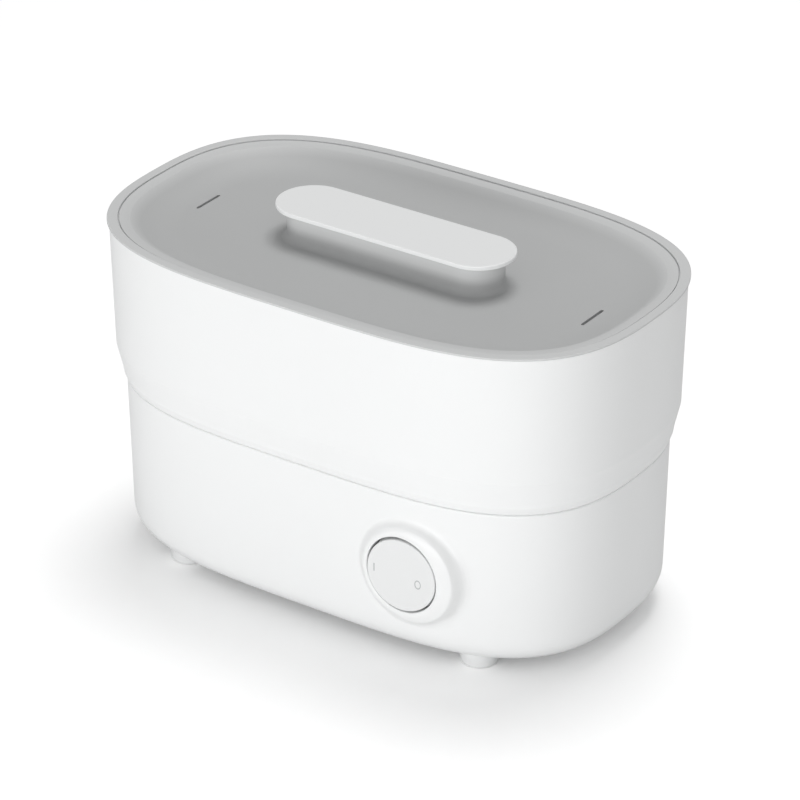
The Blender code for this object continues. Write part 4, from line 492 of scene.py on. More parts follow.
def make_finishes():
    """Every finish by its slot in the record."""
    colours = bpy.context.scene.sterilizer_colours
    return {
        # polished tool: soft clear highlights with a trace of waviness
        "white_polypropylene": moulded(
            "injection moulded white polypropylene", list(colours.shell), 0.30, 3.0 * MM, 0.0004 * MM,
            flow=0.006),
        # spark-eroded tool: an even satin that hardly mirrors
        "white_abs": moulded(
            "spark textured white ABS", list(colours.rocker), 0.42, 0.9 * MM, 0.006 * MM, ior=1.53,
            flow=0.008),
        # satin tool: broad pale sheen at low angles
        # the lid's paler rim on this finish is painted light
        "grey_polypropylene": painted_rim_light(moulded(
            "satin moulded grey polypropylene", list(colours.lid), 0.5, 1.2 * MM, 0.001 * MM,
            flow=0.012)),
        # unfilled plastic: milky, light goes a little way in
        "natural_polypropylene": moulded(
            "milky moulded natural polypropylene", list(colours.natural), 0.42, 1.0 * MM, 0.005 * MM,
            flow=0.015, extra={"Subsurface Weight": 0.25, "Subsurface Scale": 0.003}),
        # spun: fine rings from the tool, in tint, gloss and height
        "stainless_steel": metal(
            "spun stainless steel", "C9CACB", 0.26, 0.35 * MM, 0.003 * MM, rings=True),
        # bright plating: a cool, slightly soft mirror
        "zinc_plated_steel": metal("bright zinc plated steel", "BFC4C8", 0.32, 0.5 * MM, 0.004 * MM),
        # pressed from powder: dark and even, with a faint mottle
        "black_phenolic": moulded(
            "compression moulded black phenolic", linear("1F1F20"), 0.45, 0.8 * MM, 0.01 * MM, ior=1.6,
            flow=0.08),
        # soft rubber pressed in a plain tool: matt, a little cloudy
        "silicone_rubber": moulded(
            "pressed grey silicone rubber", linear("C4C6C8"), 0.6, 0.9 * MM, 0.008 * MM, ior=1.41,
            flow=0.03),
        # soft rubber: matt with a fine dusting grain
        "white_rubber": moulded(
            "moulded white rubber", list(colours.feet), 0.62, 0.8 * MM, 0.010 * MM, ior=1.52, flow=0.02),
        # wire insulation: smooth from the die, with a soft gloss
        "brown_pvc": moulded("extruded brown PVC", linear("6B3A1E"), 0.4, 2 * MM, 0.004 * MM, ior=1.53),
        "red_silicone": moulded(
            "extruded red silicone", linear("B3242A"), 0.5, 2 * MM, 0.004 * MM, ior=1.41),
        "blue_pvc": moulded("extruded blue PVC", linear("2A5DA8"), 0.4, 2 * MM, 0.004 * MM, ior=1.53),
        "green_yellow_pvc": striped_pvc(),
        # pad printing: a thin flat ink film
        "mark_ink": moulded(
            "pad printed grey ink", list(colours.mark), 0.5, 0.6 * MM, 0.002 * MM, ior=1.5),
    }


FINISHES = {}


# Base housing with the switch's collar

def base_inset(z):
    """How far the base's upright wall lies inside the lid's edge at a height."""
    low = BASE_LOW_Z + 0.0137
    share = min(1, max(0, (z - low) / (BASE_TOP_Z - low)))
    return BASE_LOW_INSET + (BASE_TOP_INSET - BASE_LOW_INSET) * share


COLLAR_LIP = 0.0016
# How far the collar's flank runs out from its lip: most at the side where the wall falls back
FLANK_LEAST = 0.0052
FLANK_MOST = 0.0138
FLANK_MOST_TURN = math.radians(-8)
# The flank's fall as (share of its run, share of its height) points
FLANK_LINE = ((0, 1), (0.1, 0.96), (0.42, 0.78), (0.56, 0.22), (0.66, 0.08), (0.8, 0.02), (1, 0))
COLLAR_REACH = 0.0070
SKIRT_WALL = 0.0022
SKIRT_DEPTH = 0.0105
WINDOW_LEFT = 0.036
WINDOW_RIGHT = 0.046
WINDOW_LOW_Z = 0.0215
WINDOW_HIGH_Z = 0.0820


def collar_line():
    """The collar's outer form as (radius, distance in front of the middle) points."""
    sizes = bpy.context.scene.sterilizer_sizes
    front = sizes.collar_front
    lip = sizes.bore_radius + COLLAR_LIP
    return rounded([
        (sizes.bore_radius, front - 0.0006, 0), (sizes.bore_radius + 0.0002, front, 0.0005),
        (lip, front, 0)], steps=6)


def collar_surface(x, z, line):
    """Distance of the housing's outer face in front of the middle, with the collar's flank."""
    sizes = bpy.context.scene.sterilizer_sizes
    wall = front_at(x, base_inset(z))
    across, up = x - sizes.knob_x, z - sizes.knob_z
    radius = math.hypot(across, up)
    lip = line[-1][0]
    if radius <= lip:
        return read_line(line, radius)
    side = (1 + math.cos(math.atan2(up, across) - FLANK_MOST_TURN)) / 2
    side = side ** 1.4
    run = min(1, (radius - lip) / (FLANK_LEAST + (FLANK_MOST - FLANK_LEAST) * side))
    gentle = (1 - run) ** 2 * (1 + 2 * run)
    share = smooth_line(FLANK_LINE, run) * side + gentle * (1 - side)
    return wall + (line[-1][1] - wall) * share


def housing_rows():
    """The housing's closed profile, with level rows over the switch on both faces of the wall."""
    low = BASE_LOW_Z
    round_width, round_height = 0.0146, 0.0137
    rest_end = BASE_LOW_INSET + round_width + 0.0127
    cover_z = low + GAP + 0.0022 + GAP
    outer_arc = []
    inner_arc = []
    for index in range(9):
        turn = math.pi / 2 * index / 8
        outer_arc.append((
            BASE_LOW_INSET + round_width * (1 - math.cos(turn)), low + round_height * (1 - math.sin(turn))))
        inner_arc.append((
            BASE_LOW_INSET + WALL + (round_width - WALL) * (1 - math.cos(turn)),
            low + WALL + (round_height - WALL) * (1 - math.sin(turn))))
    levels = [WINDOW_HIGH_Z + (WINDOW_LOW_Z - WINDOW_HIGH_Z) * index / 40 for index in range(41)]
    top = rounded([
        (BASE_TOP_INSET + WALL, BASE_TOP_Z, 0), (BASE_TOP_INSET, BASE_TOP_Z, 0.0016),
        (BASE_TOP_INSET + 0.0001, BASE_TOP_Z - 0.004, 0)])
    outer = top + [(base_inset(z), z) for z in levels]
    step_z = (levels[-1] + low + round_height) / 2
    outer += [(base_inset(step_z), step_z)]
    outer += outer_arc
    under = [
        (rest_end, low), (rest_end, cover_z), (rest_end + 0.004, cover_z),
        (rest_end + 0.004, cover_z + 0.0022), (rest_end - WALL, cover_z + 0.0022),
        (rest_end - 2 * WALL, low + WALL)]
    inner = inner_arc[::-1] + [(base_inset(z) + WALL, z) for z in levels[::-1]]
    ledge_z = BASE_TOP_Z - 0.0028
    ledge = [
        (BASE_TOP_INSET + WALL + 0.0001, ledge_z - 0.0051 + 0.003),
        (BASE_TOP_INSET + WALL + 0.0031, ledge_z - 0.002), (BASE_TOP_INSET + WALL + 0.0031, ledge_z),
        (BASE_TOP_INSET + WALL, ledge_z)]
    return outer + under + inner + ledge, levels


def window_loop(bm, front):
    """Boundary vertices of the window on one face of the wall, in order round the switch."""
    sizes = bpy.context.scene.sterilizer_sizes
    loop = []
    for vertex in bm.verts:
        if vertex.is_boundary and (abs(-vertex.co.y - front(vertex.co.x, vertex.co.z)) < 0.3 * MM):
            loop.append(vertex)
    loop.sort(key=lambda v: math.atan2(v.co.z - sizes.knob_z, v.co.x - sizes.knob_x))
    return loop


def base_housing_mesh():
    sizes = bpy.context.scene.sterilizer_sizes

    def weigh(place):
        near = place[1] < 0 and -WINDOW_LEFT - 0.01 < place[0] - sizes.knob_x < WINDOW_RIGHT + 0.01
        return 2.6 if near else 1

    turns = even_turns(330, weigh)
    profile, levels = housing_rows()
    bm = shell(profile, turns)
    across = [(outline_place(turn, 0)[0], turn) for turn in turns if turn > math.pi]
    near = [turn for x, turn in across if -WINDOW_LEFT < x - sizes.knob_x < WINDOW_RIGHT]
    doomed = []
    for face in bm.faces:
        middle = face.calc_center_median()
        if middle.y < 0 and levels[-1] < middle.z < levels[0]:
            for inset in (base_inset(middle.z), base_inset(middle.z) + WALL):
                left, right = outline_place(min(near), inset)[0], outline_place(max(near), inset)[0]
                if left < middle.x < right and abs(-middle.y - front_at(middle.x, inset)) < 1 * MM:
                    doomed.append(face)
    bmesh.ops.delete(bm, geom=doomed, context="FACES")
    outer = window_loop(bm, lambda x, z: front_at(x, base_inset(z)))
    inner = window_loop(bm, lambda x, z: front_at(x, base_inset(z) + WALL))
    if len(outer) != len(inner):
        raise RuntimeError(f"window loops differ: {len(outer)} and {len(inner)}")
    line = collar_line()
    count = len(outer)
    starts = [(v.co.x - sizes.knob_x, v.co.z - sizes.knob_z) for v in outer]
    angles = [math.atan2(z, x) for x, z in starts]
    reaches = [math.hypot(x, z) for x, z in starts]
    even = [-math.pi + math.tau * (index + 0.5) / count for index in range(count)]

    def ring(radius, share, depth=None, behind=False):
        """One ring at a radius, a share of the way from the window's edge to the circle."""
        made = []
        for angle, reach, plain in zip(angles, reaches, even):
            turn = angle + (plain - angle) * share
            r = reach + (radius - reach) * share
            x, z = sizes.knob_x + r * math.cos(turn), sizes.knob_z + r * math.sin(turn)
            if depth is not None:
                y = -depth
            elif behind:
                y = -front_at(x, base_inset(z) + WALL)
            else:
                y = -collar_surface(x, z, line)
            made.append((x, y, z))
        return made

    outer_circle = sizes.bore_radius + COLLAR_LIP + COLLAR_REACH
    rings = [ring(outer_circle, share / 30) for share in range(1, 31)]
    lip = line[-1][0]
    radii = [outer_circle - (outer_circle - lip) * step / 18 for step in range(1, 19)]
    radii += sorted({round(r, 6) for r, _ in line if sizes.bore_radius < r < lip - MERGE}, reverse=True)
    rings += [ring(radius, 1) for radius in radii]
    seat = sizes.collar_front - SKIRT_DEPTH
    bore = sizes.bore_radius
    for depth in (line[0][1], line[0][1] - 0.002, (line[0][1] + seat) / 2, seat + 0.0004):
        rings.append(ring(bore, 1, depth))
    rings += [ring(bore + 0.0003, 1, seat), ring(bore + SKIRT_WALL, 1, seat)]
    rings += [ring(bore + SKIRT_WALL, 1, seat + 0.0015)]
    rings += [ring(bore + SKIRT_WALL, 1, behind=True)]
    rings += [ring(bore + SKIRT_WALL + (outer_circle - bore - SKIRT_WALL) * n / 5, 1, behind=True)
              for n in range(1, 6)]
    rings += [ring(outer_circle, share / 4, behind=True) for share in (3, 2, 1)]
    edges = [bm.edges.get((outer[index - 1], outer[index])) for index in range(count)]
    verts = outer
    for places in rings:
        made = bmesh.ops.extrude_edge_only(bm, edges=edges)["geom"]
        fresh = {item for item in made if isinstance(item, bmesh.types.BMVert)}
        verts = [next(e.other_vert(v) for e in v.link_edges if e.other_vert(v) in fresh) for v in verts]
        for vertex, place in zip(verts, places):
            vertex.co = place
        edges = [bm.edges.get((verts[index - 1], verts[index])) for index in range(count)]
    last = [bm.edges.get((inner[index - 1], inner[index])) for index in range(count)]
    bmesh.ops.bridge_loops(bm, edges=edges + last)
    bmesh.ops.recalc_face_normals(bm, faces=bm.faces)
    return bm


class STERILIZER_OT_base(bpy.types.Operator):
    """Makes the base housing, its bottom cover, feet and cord gland"""
    bl_idname = "sterilizer.base"
    bl_label = "Base"

    def execute(self, context):
        white = FINISHES["white_polypropylene"]
        bm = base_housing_mesh()
        gland_low, gland_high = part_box("cord_gland")
        place = ((gland_low + gland_high) / 2).to_tuple()
        seat = gland_high.y - 0.0025 - GAP
        pad = bmesh.new()
        add_rod(pad, (place[0], seat - 0.003, place[2]), 0.0115, 0.006, "Y", sides=72)
        bm = join(bm, pad)
        bore = bmesh.new()
        add_rod(bore, (place[0], seat, place[2]), 0.0063, 0.02, "Y", sides=48)
        bm = cut(bm, bore)
        new_piece("base_shell", bm, white, "base", ["base_housing"])
        low, high = (corner.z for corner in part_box("bottom_cover"))
        edge = BASE_LOW_INSET + 0.0146 + 0.0127 + GAP
        profile = rounded([
            (edge + 0.02, low, 0), (edge, low, 0.0003), (edge, high, 0.0003), (edge + 0.02, high, 0)])
        cover = shell(profile, even_turns(RING_POINTS), loop=False)
        holes = bmesh.new()
        for name in PLACES:
            add_rod(holes, (*middle_of("base_screw_" + name), low), 0.0019, 0.02, sides=32)
        new_piece(
            "base_cover", cut(cover, holes), white, "base", ["bottom_cover"])
        self.feet()
        self.gland(place, seat)
        return {"FINISHED"}

    def feet(self):
        top = BASE_LOW_Z + WALL
        for name in PLACES:
            low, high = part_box("foot_" + name)
            radius = (high.x - low.x) / 2
            profile = rounded([
                (0, top, 0), (radius, top, 0), (radius, 0, 0.0013), (radius * 0.62, 0, 0.0004),
                (radius * 0.58, 0.0006, 0.0003), (0, 0.0006, 0)], steps=6)
            foot = turned(profile, 72, loop=False)
            bmesh.ops.translate(foot, verts=foot.verts, vec=(*middle_of("foot_" + name), 0))
            new_piece(
                "foot_pad_" + name, foot, FINISHES["white_rubber"], "base",
                ["foot_" + name])

    def gland(self, place, seat):
        face = seat + GAP + 0.0025
        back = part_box("cord_gland")[0].y
        profile = rounded([
            (0.004, face, 0.0008), (0.0072, face, 0.0014), (0.009, seat + 0.0012, 0.0008),
            (0.009, seat + GAP, 0), (0.006, seat + GAP, 0), (0.006, back, 0), (0.004, back, 0)],
            closed=True, steps=4)
        gland = turned(profile, 72)
        bmesh.ops.rotate(
            gland, verts=gland.verts, cent=(0, 0, 0), matrix=Matrix.Rotation(-math.pi / 2, 3, "X"))
        bmesh.ops.translate(gland, verts=gland.verts, vec=(place[0], 0, place[2]))
        new_piece(
            "gland_ring", gland, FINISHES["white_polypropylene"], "base",
            ["cord_gland"])


# Rocker of the switch

ROCKER_TILT = math.radians(2.5)
ROCKER_DISH = 0.0005
FILM = 0.00002
INK_TOP = 0.00006


class STERILIZER_OT_switch(bpy.types.Operator):
    """Makes the round rocker with its two marks"""
    bl_idname = "sterilizer.switch"
    bl_label = "Switch"

    def execute(self, context):
        sizes = context.scene.sterilizer_sizes
        radius = sizes.bore_radius - 0.0009
        face = sizes.collar_front + 0.0006
        back = face - 0.0024
        corners = [
            (0, face - ROCKER_DISH, 0), (radius * 0.5, face - 0.00038, 0.006),
            (radius * 0.85, face - 0.00012, 0.003), (radius, face, 0.0007), (radius, back, 0.0003),
            (0, back, 0)]
        profile = rounded(corners, steps=6)
        disc = turned(profile, 144, loop=False)
        ears = bmesh.new()
        axis = sizes.collar_front - 0.0040
        for side in (1, -1):
            inner, outer = sorted((side * 0.0082, side * 0.0107))
            add_block(ears, (-0.003, inner, axis - 0.0024), (0.003, outer, back + 0.0008))
        add_rod(ears, (-0.0078, 0, back), 0.0016, 0.0018, sides=32)
        disc = join(disc, ears)
        self.place(disc, axis, sizes)
        new_piece("rocker_disc", disc, FINISHES["white_abs"], "rocker", ["rocker_button"])
        for name, mark in (("mark_on", self.dash(face)), ("mark_off", self.oval(face))):
            self.place(mark, axis, sizes)
            new_piece(name, mark, FINISHES["mark_ink"], "rocker")
        return {"FINISHED"}

    def place(self, bm, axis, sizes):
        """Tilts a mesh to the rest stop and turns its upright axis to the front."""
        turn = Matrix.Rotation(ROCKER_TILT, 3, "Y")
        bmesh.ops.rotate(bm, verts=bm.verts, cent=(0, 0, axis), matrix=turn)
        bmesh.ops.rotate(bm, verts=bm.verts, cent=(0, 0, 0), matrix=Matrix.Rotation(math.pi / 2, 3, "X"))
        bmesh.ops.translate(bm, verts=bm.verts, vec=(sizes.knob_x, 0, sizes.knob_z))

    def dish(self, bm, face):
        """Lays a flat mark a film's thickness over the dished face."""
        radius = bpy.context.scene.sterilizer_sizes.bore_radius
        for vertex in bm.verts:
            share = math.hypot(vertex.co.x, vertex.co.y) / radius
            vertex.co.z += face - ROCKER_DISH * (1 - share ** 2) + FILM
        return bm

    def dash(self, face):
        bm = bmesh.new()
        add_rounded_block(
            bm, (-0.0147, -0.0018, 0), (-0.0141, 0.0024, INK_TOP), 2, 0.00028, segments=4)
        return self.dish(bm, face)

    def oval(self, face):
        profile = [(0.0020, 0), (0.0020, INK_TOP), (0.0015, INK_TOP), (0.0015, 0)]
        bm = turned(profile, 48)
        bmesh.ops.scale(bm, verts=bm.verts, vec=(0.86, 1.15, 1))
        bmesh.ops.translate(bm, verts=bm.verts, vec=(0.0089, -0.0022, 0))
        return self.dish(bm, face)


# Water tub inside the base

TUB_FLOOR_Z = BASE_LOW_Z + 0.0254
SEAT_Z = BASE_TOP_Z - 0.0028 + GAP
TUB_WALL = 0.0023
COLLAR_INSET = BASE_TOP_INSET + WALL + GAP
COLLAR_TOP_Z = BASE_TOP_Z + 0.0075
# How far the floor runs in from the shoulder before it goes over to the plate's round opening
FLOOR_RUN = 0.012
POST_RADIUS = 0.004


def lower_inset():
    """Inset of the tub's narrow part, which clears the switch."""
    sizes = bpy.context.scene.sterilizer_sizes
    distance = sizes.collar_front - SKIRT_DEPTH - 0.0003 - 0.0018 - 0.0003 - 0.0014 - 0.0007
    inset = sizes.width / 2 - distance
    for _ in range(12):
        inset += front_at(sizes.knob_x, inset) - distance
    return inset


def tub_inner():
    """The tub's inner face from the rim down to the start of its floor."""
    neck = COLLAR_INSET + 0.0034
    shoulder = lower_inset()
    seat_z = SEAT_Z
    return [
        (COLLAR_INSET + TUB_WALL, COLLAR_TOP_Z), (COLLAR_INSET + TUB_WALL, seat_z + TUB_WALL),
        (neck + TUB_WALL, seat_z), (neck + TUB_WALL, seat_z - 0.003),
        (shoulder + TUB_WALL, seat_z - 0.0065), (shoulder + 0.0022 + TUB_WALL, TUB_FLOOR_Z)]


class STERILIZER_OT_tub(bpy.types.Operator):
    """Makes the water tub round the heating plate"""
    bl_idname = "sterilizer.tub"
    bl_label = "Water tub"

    def execute(self, context):
        neck = COLLAR_INSET + 0.0034
        shoulder = lower_inset()
        low = TUB_FLOOR_Z - TUB_WALL
        radii = (0.0008, 0.0006, 0.001, 0.002, 0.003, 0.0045)
        corners = [(*place, radius) for place, radius in zip(tub_inner(), radii)]
        corners += [(shoulder + FLOOR_RUN, TUB_FLOOR_Z, 0)]
        outside = [
            (shoulder + FLOOR_RUN, low, 0), (shoulder + 0.0022, low, 0.0045),
            (shoulder, SEAT_Z - 0.0068, 0.003),
            (neck, SEAT_Z - 0.0033, 0.001), (neck, SEAT_Z, 0), (COLLAR_INSET, SEAT_Z, 0),
            (COLLAR_INSET, COLLAR_TOP_Z, 0.0008)]
        turns = even_turns(RING_POINTS)
        profile = rounded(outside + corners, steps=5)
        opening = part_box("plate_gasket")[1].x - 0.0060
        circle = [Vector(outline_place(turn, 0.05)).normalized() * opening for turn in turns]
        rings = [[(*place, low) for place in circle]]
        rings += [outline_ring(inset, z, turns) for inset, z in profile]
        rings += [[(*place, TUB_FLOOR_Z) for place in circle]]
        bm = skin(rings, loop=True)
        posts = bmesh.new()
        top = low + TUB_WALL / 2
        for kind, under in (("base_screw_", "bottom_cover"), ("clamp_screw_", "plate_clamp_ring")):
            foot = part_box(under)[1].z + GAP
            for name in PLACES:
                place = (*middle_of(kind + name), (foot + top) / 2)
                add_rod(posts, place, POST_RADIUS, top - foot, sides=32)
        bm = join(bm, posts)
        new_piece("tub_bowl", bm, FINISHES["white_polypropylene"], "base",
                  ["water_tub"])
        return {"FINISHED"}


# Steam chamber

def chamber_inset(z):
    """Outer inset of the chamber at a height."""
    line = [
        (CHAMBER_LOW_Z, BASE_TOP_INSET), (BAND_LOW_Z, BAND_LOW_INSET), (BAND_TOP_Z, BAND_TOP_INSET),
        (WALL_LOW_Z, WALL_LOW_INSET), (CHAMBER_TOP_Z, TOP_INSET)]
    return read_line(line, z)


class STERILIZER_OT_chamber(bpy.types.Operator):
    """Makes the steam chamber's wall with its bands and inner ledges"""
    bl_idname = "sterilizer.chamber"
    bl_label = "Steam chamber"

    def execute(self, context):
        low = CHAMBER_LOW_Z - SEAM_CLOSED
        ledge_low = COLLAR_TOP_Z + GAP
        ledge_top = ledge_low + 0.002
        tray_top = CHAMBER_TOP_Z - 0.018
        tray_low = tray_top - 0.0018

        def wall(z):
            return chamber_inset(z) + WALL

        corners = [
            (TOP_INSET, CHAMBER_TOP_Z, 0.0006), (WALL_LOW_INSET, WALL_LOW_Z, 0.0012),
            (BAND_TOP_INSET, BAND_TOP_Z, 0.0010), (BAND_LOW_INSET, BAND_LOW_Z, 0.0008),
            (BASE_TOP_INSET, low, 0.0014), (BASE_TOP_INSET + WALL, low, 0.0003),
            (BAND_LOW_INSET + WALL, BAND_LOW_Z, 0), (wall(ledge_low), ledge_low, 0.0003),
            (wall(ledge_low) + 0.0043, ledge_low, 0.0004), (wall(ledge_low) + 0.0043, ledge_top, 0.0004),
            (wall(ledge_top), ledge_top, 0.0004), (WALL_LOW_INSET + WALL, WALL_LOW_Z, 0.001),
            (wall(tray_low), tray_low - 0.003, 0.0006), (wall(tray_low) + 0.003, tray_low, 0.0004),
            (wall(tray_top) + 0.003, tray_top, 0.0004), (wall(tray_top), tray_top, 0.0003),
            (TOP_INSET + WALL, CHAMBER_TOP_Z, 0.0006)]
        bm = shell(rounded(corners, closed=True), even_turns(RING_POINTS))
        new_piece("chamber_wall", bm, FINISHES["white_polypropylene"], "chamber",
                  ["steam_chamber"])
        return {"FINISHED"}


# Lid and handle

RIM_WIDTH = 0.0046
BAND_WIDTH = 0.0053
BAND_DEPTH = 0.0013
DISH_WIDTH = 0.021
LID_WALL = 0.0022
PEDESTAL_HALF_LENGTH = 0.0585
PEDESTAL_HALF_WIDTH = 0.014
PEDESTAL_FILLET = 0.003
SLIT_X = 0.108
SLIT_HALF_LENGTH = 0.009


def stadium_ring(half_length, half_width, z, count):
    """A stadium's points, evenly spread from its right end."""
    straight = half_length - half_width
    quarter = half_width * math.pi / 2
    whole = 4 * (straight + quarter)
    ring = []
    for index in range(count):
        run = whole * index / count
        side = 1 if run <= whole / 2 else -1
        run = run if side == 1 else run - whole / 2
        if run <= quarter:
            turn = run / half_width
            place = (straight + half_width * math.cos(turn), half_width * math.sin(turn))
        elif run <= quarter + 2 * straight:
            place = (straight - (run - quarter), half_width)
        else:
            turn = (run - quarter - 2 * straight) / half_width + math.pi / 2
            place = (-straight + half_width * math.cos(turn), half_width * math.sin(turn))
        ring.append((side * place[0], side * place[1], z))
    return ring


def between(first, second, share):
    return [tuple(a + (b - a) * share for a, b in zip(p, q)) for p, q in zip(first, second)]


class STERILIZER_OT_lid(bpy.types.Operator):
    """Makes the lid's rim, dish, pedestal and steam slits"""
    bl_idname = "sterilizer.lid"
    bl_label = "Lid"

    def execute(self, context):
        sizes = context.scene.sterilizer_sizes
        floor_z = RIM_Z - sizes.lid_depth
        pedestal_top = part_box("lid_shell")[1].z
        turns = even_turns(RING_POINTS)
        crease = RIM_WIDTH + BAND_WIDTH
        floor_inset = crease + DISH_WIDTH
        fall = sizes.lid_depth - BAND_DEPTH
        dish = []
        for index in range(1, 13):
            share = index / 12
            dish.append((crease + DISH_WIDTH * share, RIM_Z - BAND_DEPTH - fall * share * (2 - share)))
        rim = rounded([
            (0.0004, RIM_Z - 0.001, 0), (0, RIM_Z - 0.001, 0.0002), (0, RIM_Z, 0.0004),
            (RIM_WIDTH, RIM_Z, 0.0004), (RIM_WIDTH + 0.0001, RIM_Z - 0.0013, 0),
            (RIM_WIDTH + 0.0005, RIM_Z - 0.0013, 0), (RIM_WIDTH + 0.0006, RIM_Z - 0.0005, 0.0002),
            (crease, RIM_Z - BAND_DEPTH, 0.0008), dish[0] + (0,)], steps=5)
        top = rim + dish[1:]
        rings = [outline_ring(inset, z, turns) for inset, z in top]
        foot = stadium_ring(
            PEDESTAL_HALF_LENGTH + PEDESTAL_FILLET, PEDESTAL_HALF_WIDTH + PEDESTAL_FILLET, floor_z,
            RING_POINTS)
        rings += [between(rings[-1], foot, share / 6) for share in range(1, 6)]
        rings += self.pedestal(floor_z, pedestal_top, 0)
        under = [(inset, z - LID_WALL) for inset, z in dish]
        skirt_outer = TOP_INSET + WALL + 0.0004
        skirt_inner = skirt_outer + 0.0004 + 0.0018
        skirt = rounded([
            (under[0][0], under[0][1], 0), (skirt_inner, RIM_Z - BAND_DEPTH - LID_WALL, 0.0008),
            (skirt_inner, RIM_Z - 0.010, 0.0005), (skirt_outer + 0.0004, RIM_Z - 0.010, 0.0005),
            (skirt_outer, RIM_Z - 0.001, 0.0003), (0.0004, RIM_Z - 0.001, 0)])
        below = self.pedestal(floor_z - LID_WALL, pedestal_top - LID_WALL, LID_WALL)[::-1]
        floor_ring = outline_ring(floor_inset, floor_z - LID_WALL, turns)
        below_foot = below[-1]
        below += [between(below_foot, floor_ring, share / 6) for share in range(1, 6)]
        below += [outline_ring(inset, z, turns) for inset, z in under[::-1]]
        below += [outline_ring(inset, z, turns) for inset, z in skirt[1:-1]]
        bm = skin(below + rings, loop=False)
        slits = bmesh.new()
        for side in (1, -1):
            self.slit(slits, side * SLIT_X, 0.0008, floor_z - 0.0015, floor_z + 0.001)
        bm = cut(bm, slits)
        narrow = bmesh.new()
        for side in (1, -1):
            self.slit(narrow, side * SLIT_X, 0.0003, floor_z - LID_WALL - 0.001, floor_z - 0.001)
        bm = cut(bm, narrow)
        new_piece("lid_dish", bm, FINISHES["grey_polypropylene"], "lid",
                  ["lid_shell"])
        return {"FINISHED"}

    def pedestal(self, floor_z, top_z, inset):
        """Rings from the floor over the fillet to the top of the pedestal."""
        rings = []
        for index in range(7):
            turn = math.pi / 2 * index / 6
            out = PEDESTAL_FILLET * (1 - math.sin(turn)) - inset
            z = floor_z + PEDESTAL_FILLET * (1 - math.cos(turn))
            rings.append(stadium_ring(
                PEDESTAL_HALF_LENGTH + out, PEDESTAL_HALF_WIDTH + out, z, RING_POINTS))
        for out, z in rounded([(0, top_z - 0.004, 0), (0, top_z, 0.0006), (-0.002, top_z, 0)]):
            rings.append(stadium_ring(
                PEDESTAL_HALF_LENGTH + out - inset, PEDESTAL_HALF_WIDTH + out - inset, z, RING_POINTS))
        return rings

    def slit(self, bm, x, half_width, low, high):
        add_rounded_block(
            bm, (x - half_width, -SLIT_HALF_LENGTH, low), (x + half_width, SLIT_HALF_LENGTH, high), 2,
            half_width * 0.9)


class STERILIZER_OT_handle(bpy.types.Operator):
    """Makes the handle plate on the lid's pedestal"""
    bl_idname = "sterilizer.handle"
    bl_label = "Handle plate"

    def execute(self, context):
        sizes = context.scene.sterilizer_sizes
        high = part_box("handle_plate")[1].z
        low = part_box("lid_shell")[1].z + GAP
        half_length, half_width = sizes.handle_length / 2, sizes.handle_width / 2
        line = rounded([
            (0.010, low, 0), (0, low, 0.0005), (0, high, 0.0006), (0.010, high, 0)], steps=6)
        rings = [stadium_ring(half_length - a, half_width - a, z, 200) for a, z in line]
        bm = skin(rings, loop=False)
        new_piece("handle_top", bm, FINISHES["white_polypropylene"], "lid",
                  ["handle_plate"])
        return {"FINISHED"}


# Basket, tray and heating plate inside

SLOT_HALF_WIDTH = 0.0019
SLOT_DEPTH = 0.002
SLOT_RISE = 0.004
NEST_CLEAR = 0.001
FLANGE_CLEAR = 0.0008
# How far a floor runs in from its wall before one flat face closes it
FLOOR_EDGE = 0.02
BASKET_WALL = 0.0018
BASKET_FLOOR = 0.002
WALL_SLOT_LOW = 0.014
TALL = 0.028
TRAY_WALL = 0.0016
TRAY_FLOOR = 0.0018
GRIP_THICKNESS = 0.0018
GRIP_HALF_WIDTH = 0.014
GRIP_HEIGHT = 0.0045
PLATE_METAL = 0.001

# Places of slots and pegs, as shares of the length (pitch) or the width
BASKET_PITCH = 0.078571
BASKET_ACROSS = 0.12737
BASKET_SLOT = 0.077
WALL_SLOT_PITCH = 0.107143
PEG_ACROSS = 0.165877
TRAY_PITCH = 0.085714
TRAY_ACROSS = 0.171801
TRAY_SLOT = 0.08886


def slot_row(bm, places, half_length, low, high, axis=2):
    """Cutters between two heights at each (x, y) place, rounded along one axis."""
    for x, y in places:
        add_rounded_block(
            bm, (x - SLOT_HALF_WIDTH, y - half_length, low),
            (x + SLOT_HALF_WIDTH, y + half_length, high), axis, SLOT_HALF_WIDTH * 0.9)


def paired_places(pitch, across):
    """Eight places along the length, in two rows equally far from the middle."""
    return [((index - 3.5) * pitch, side * across) for index in range(8) for side in (1, -1)]


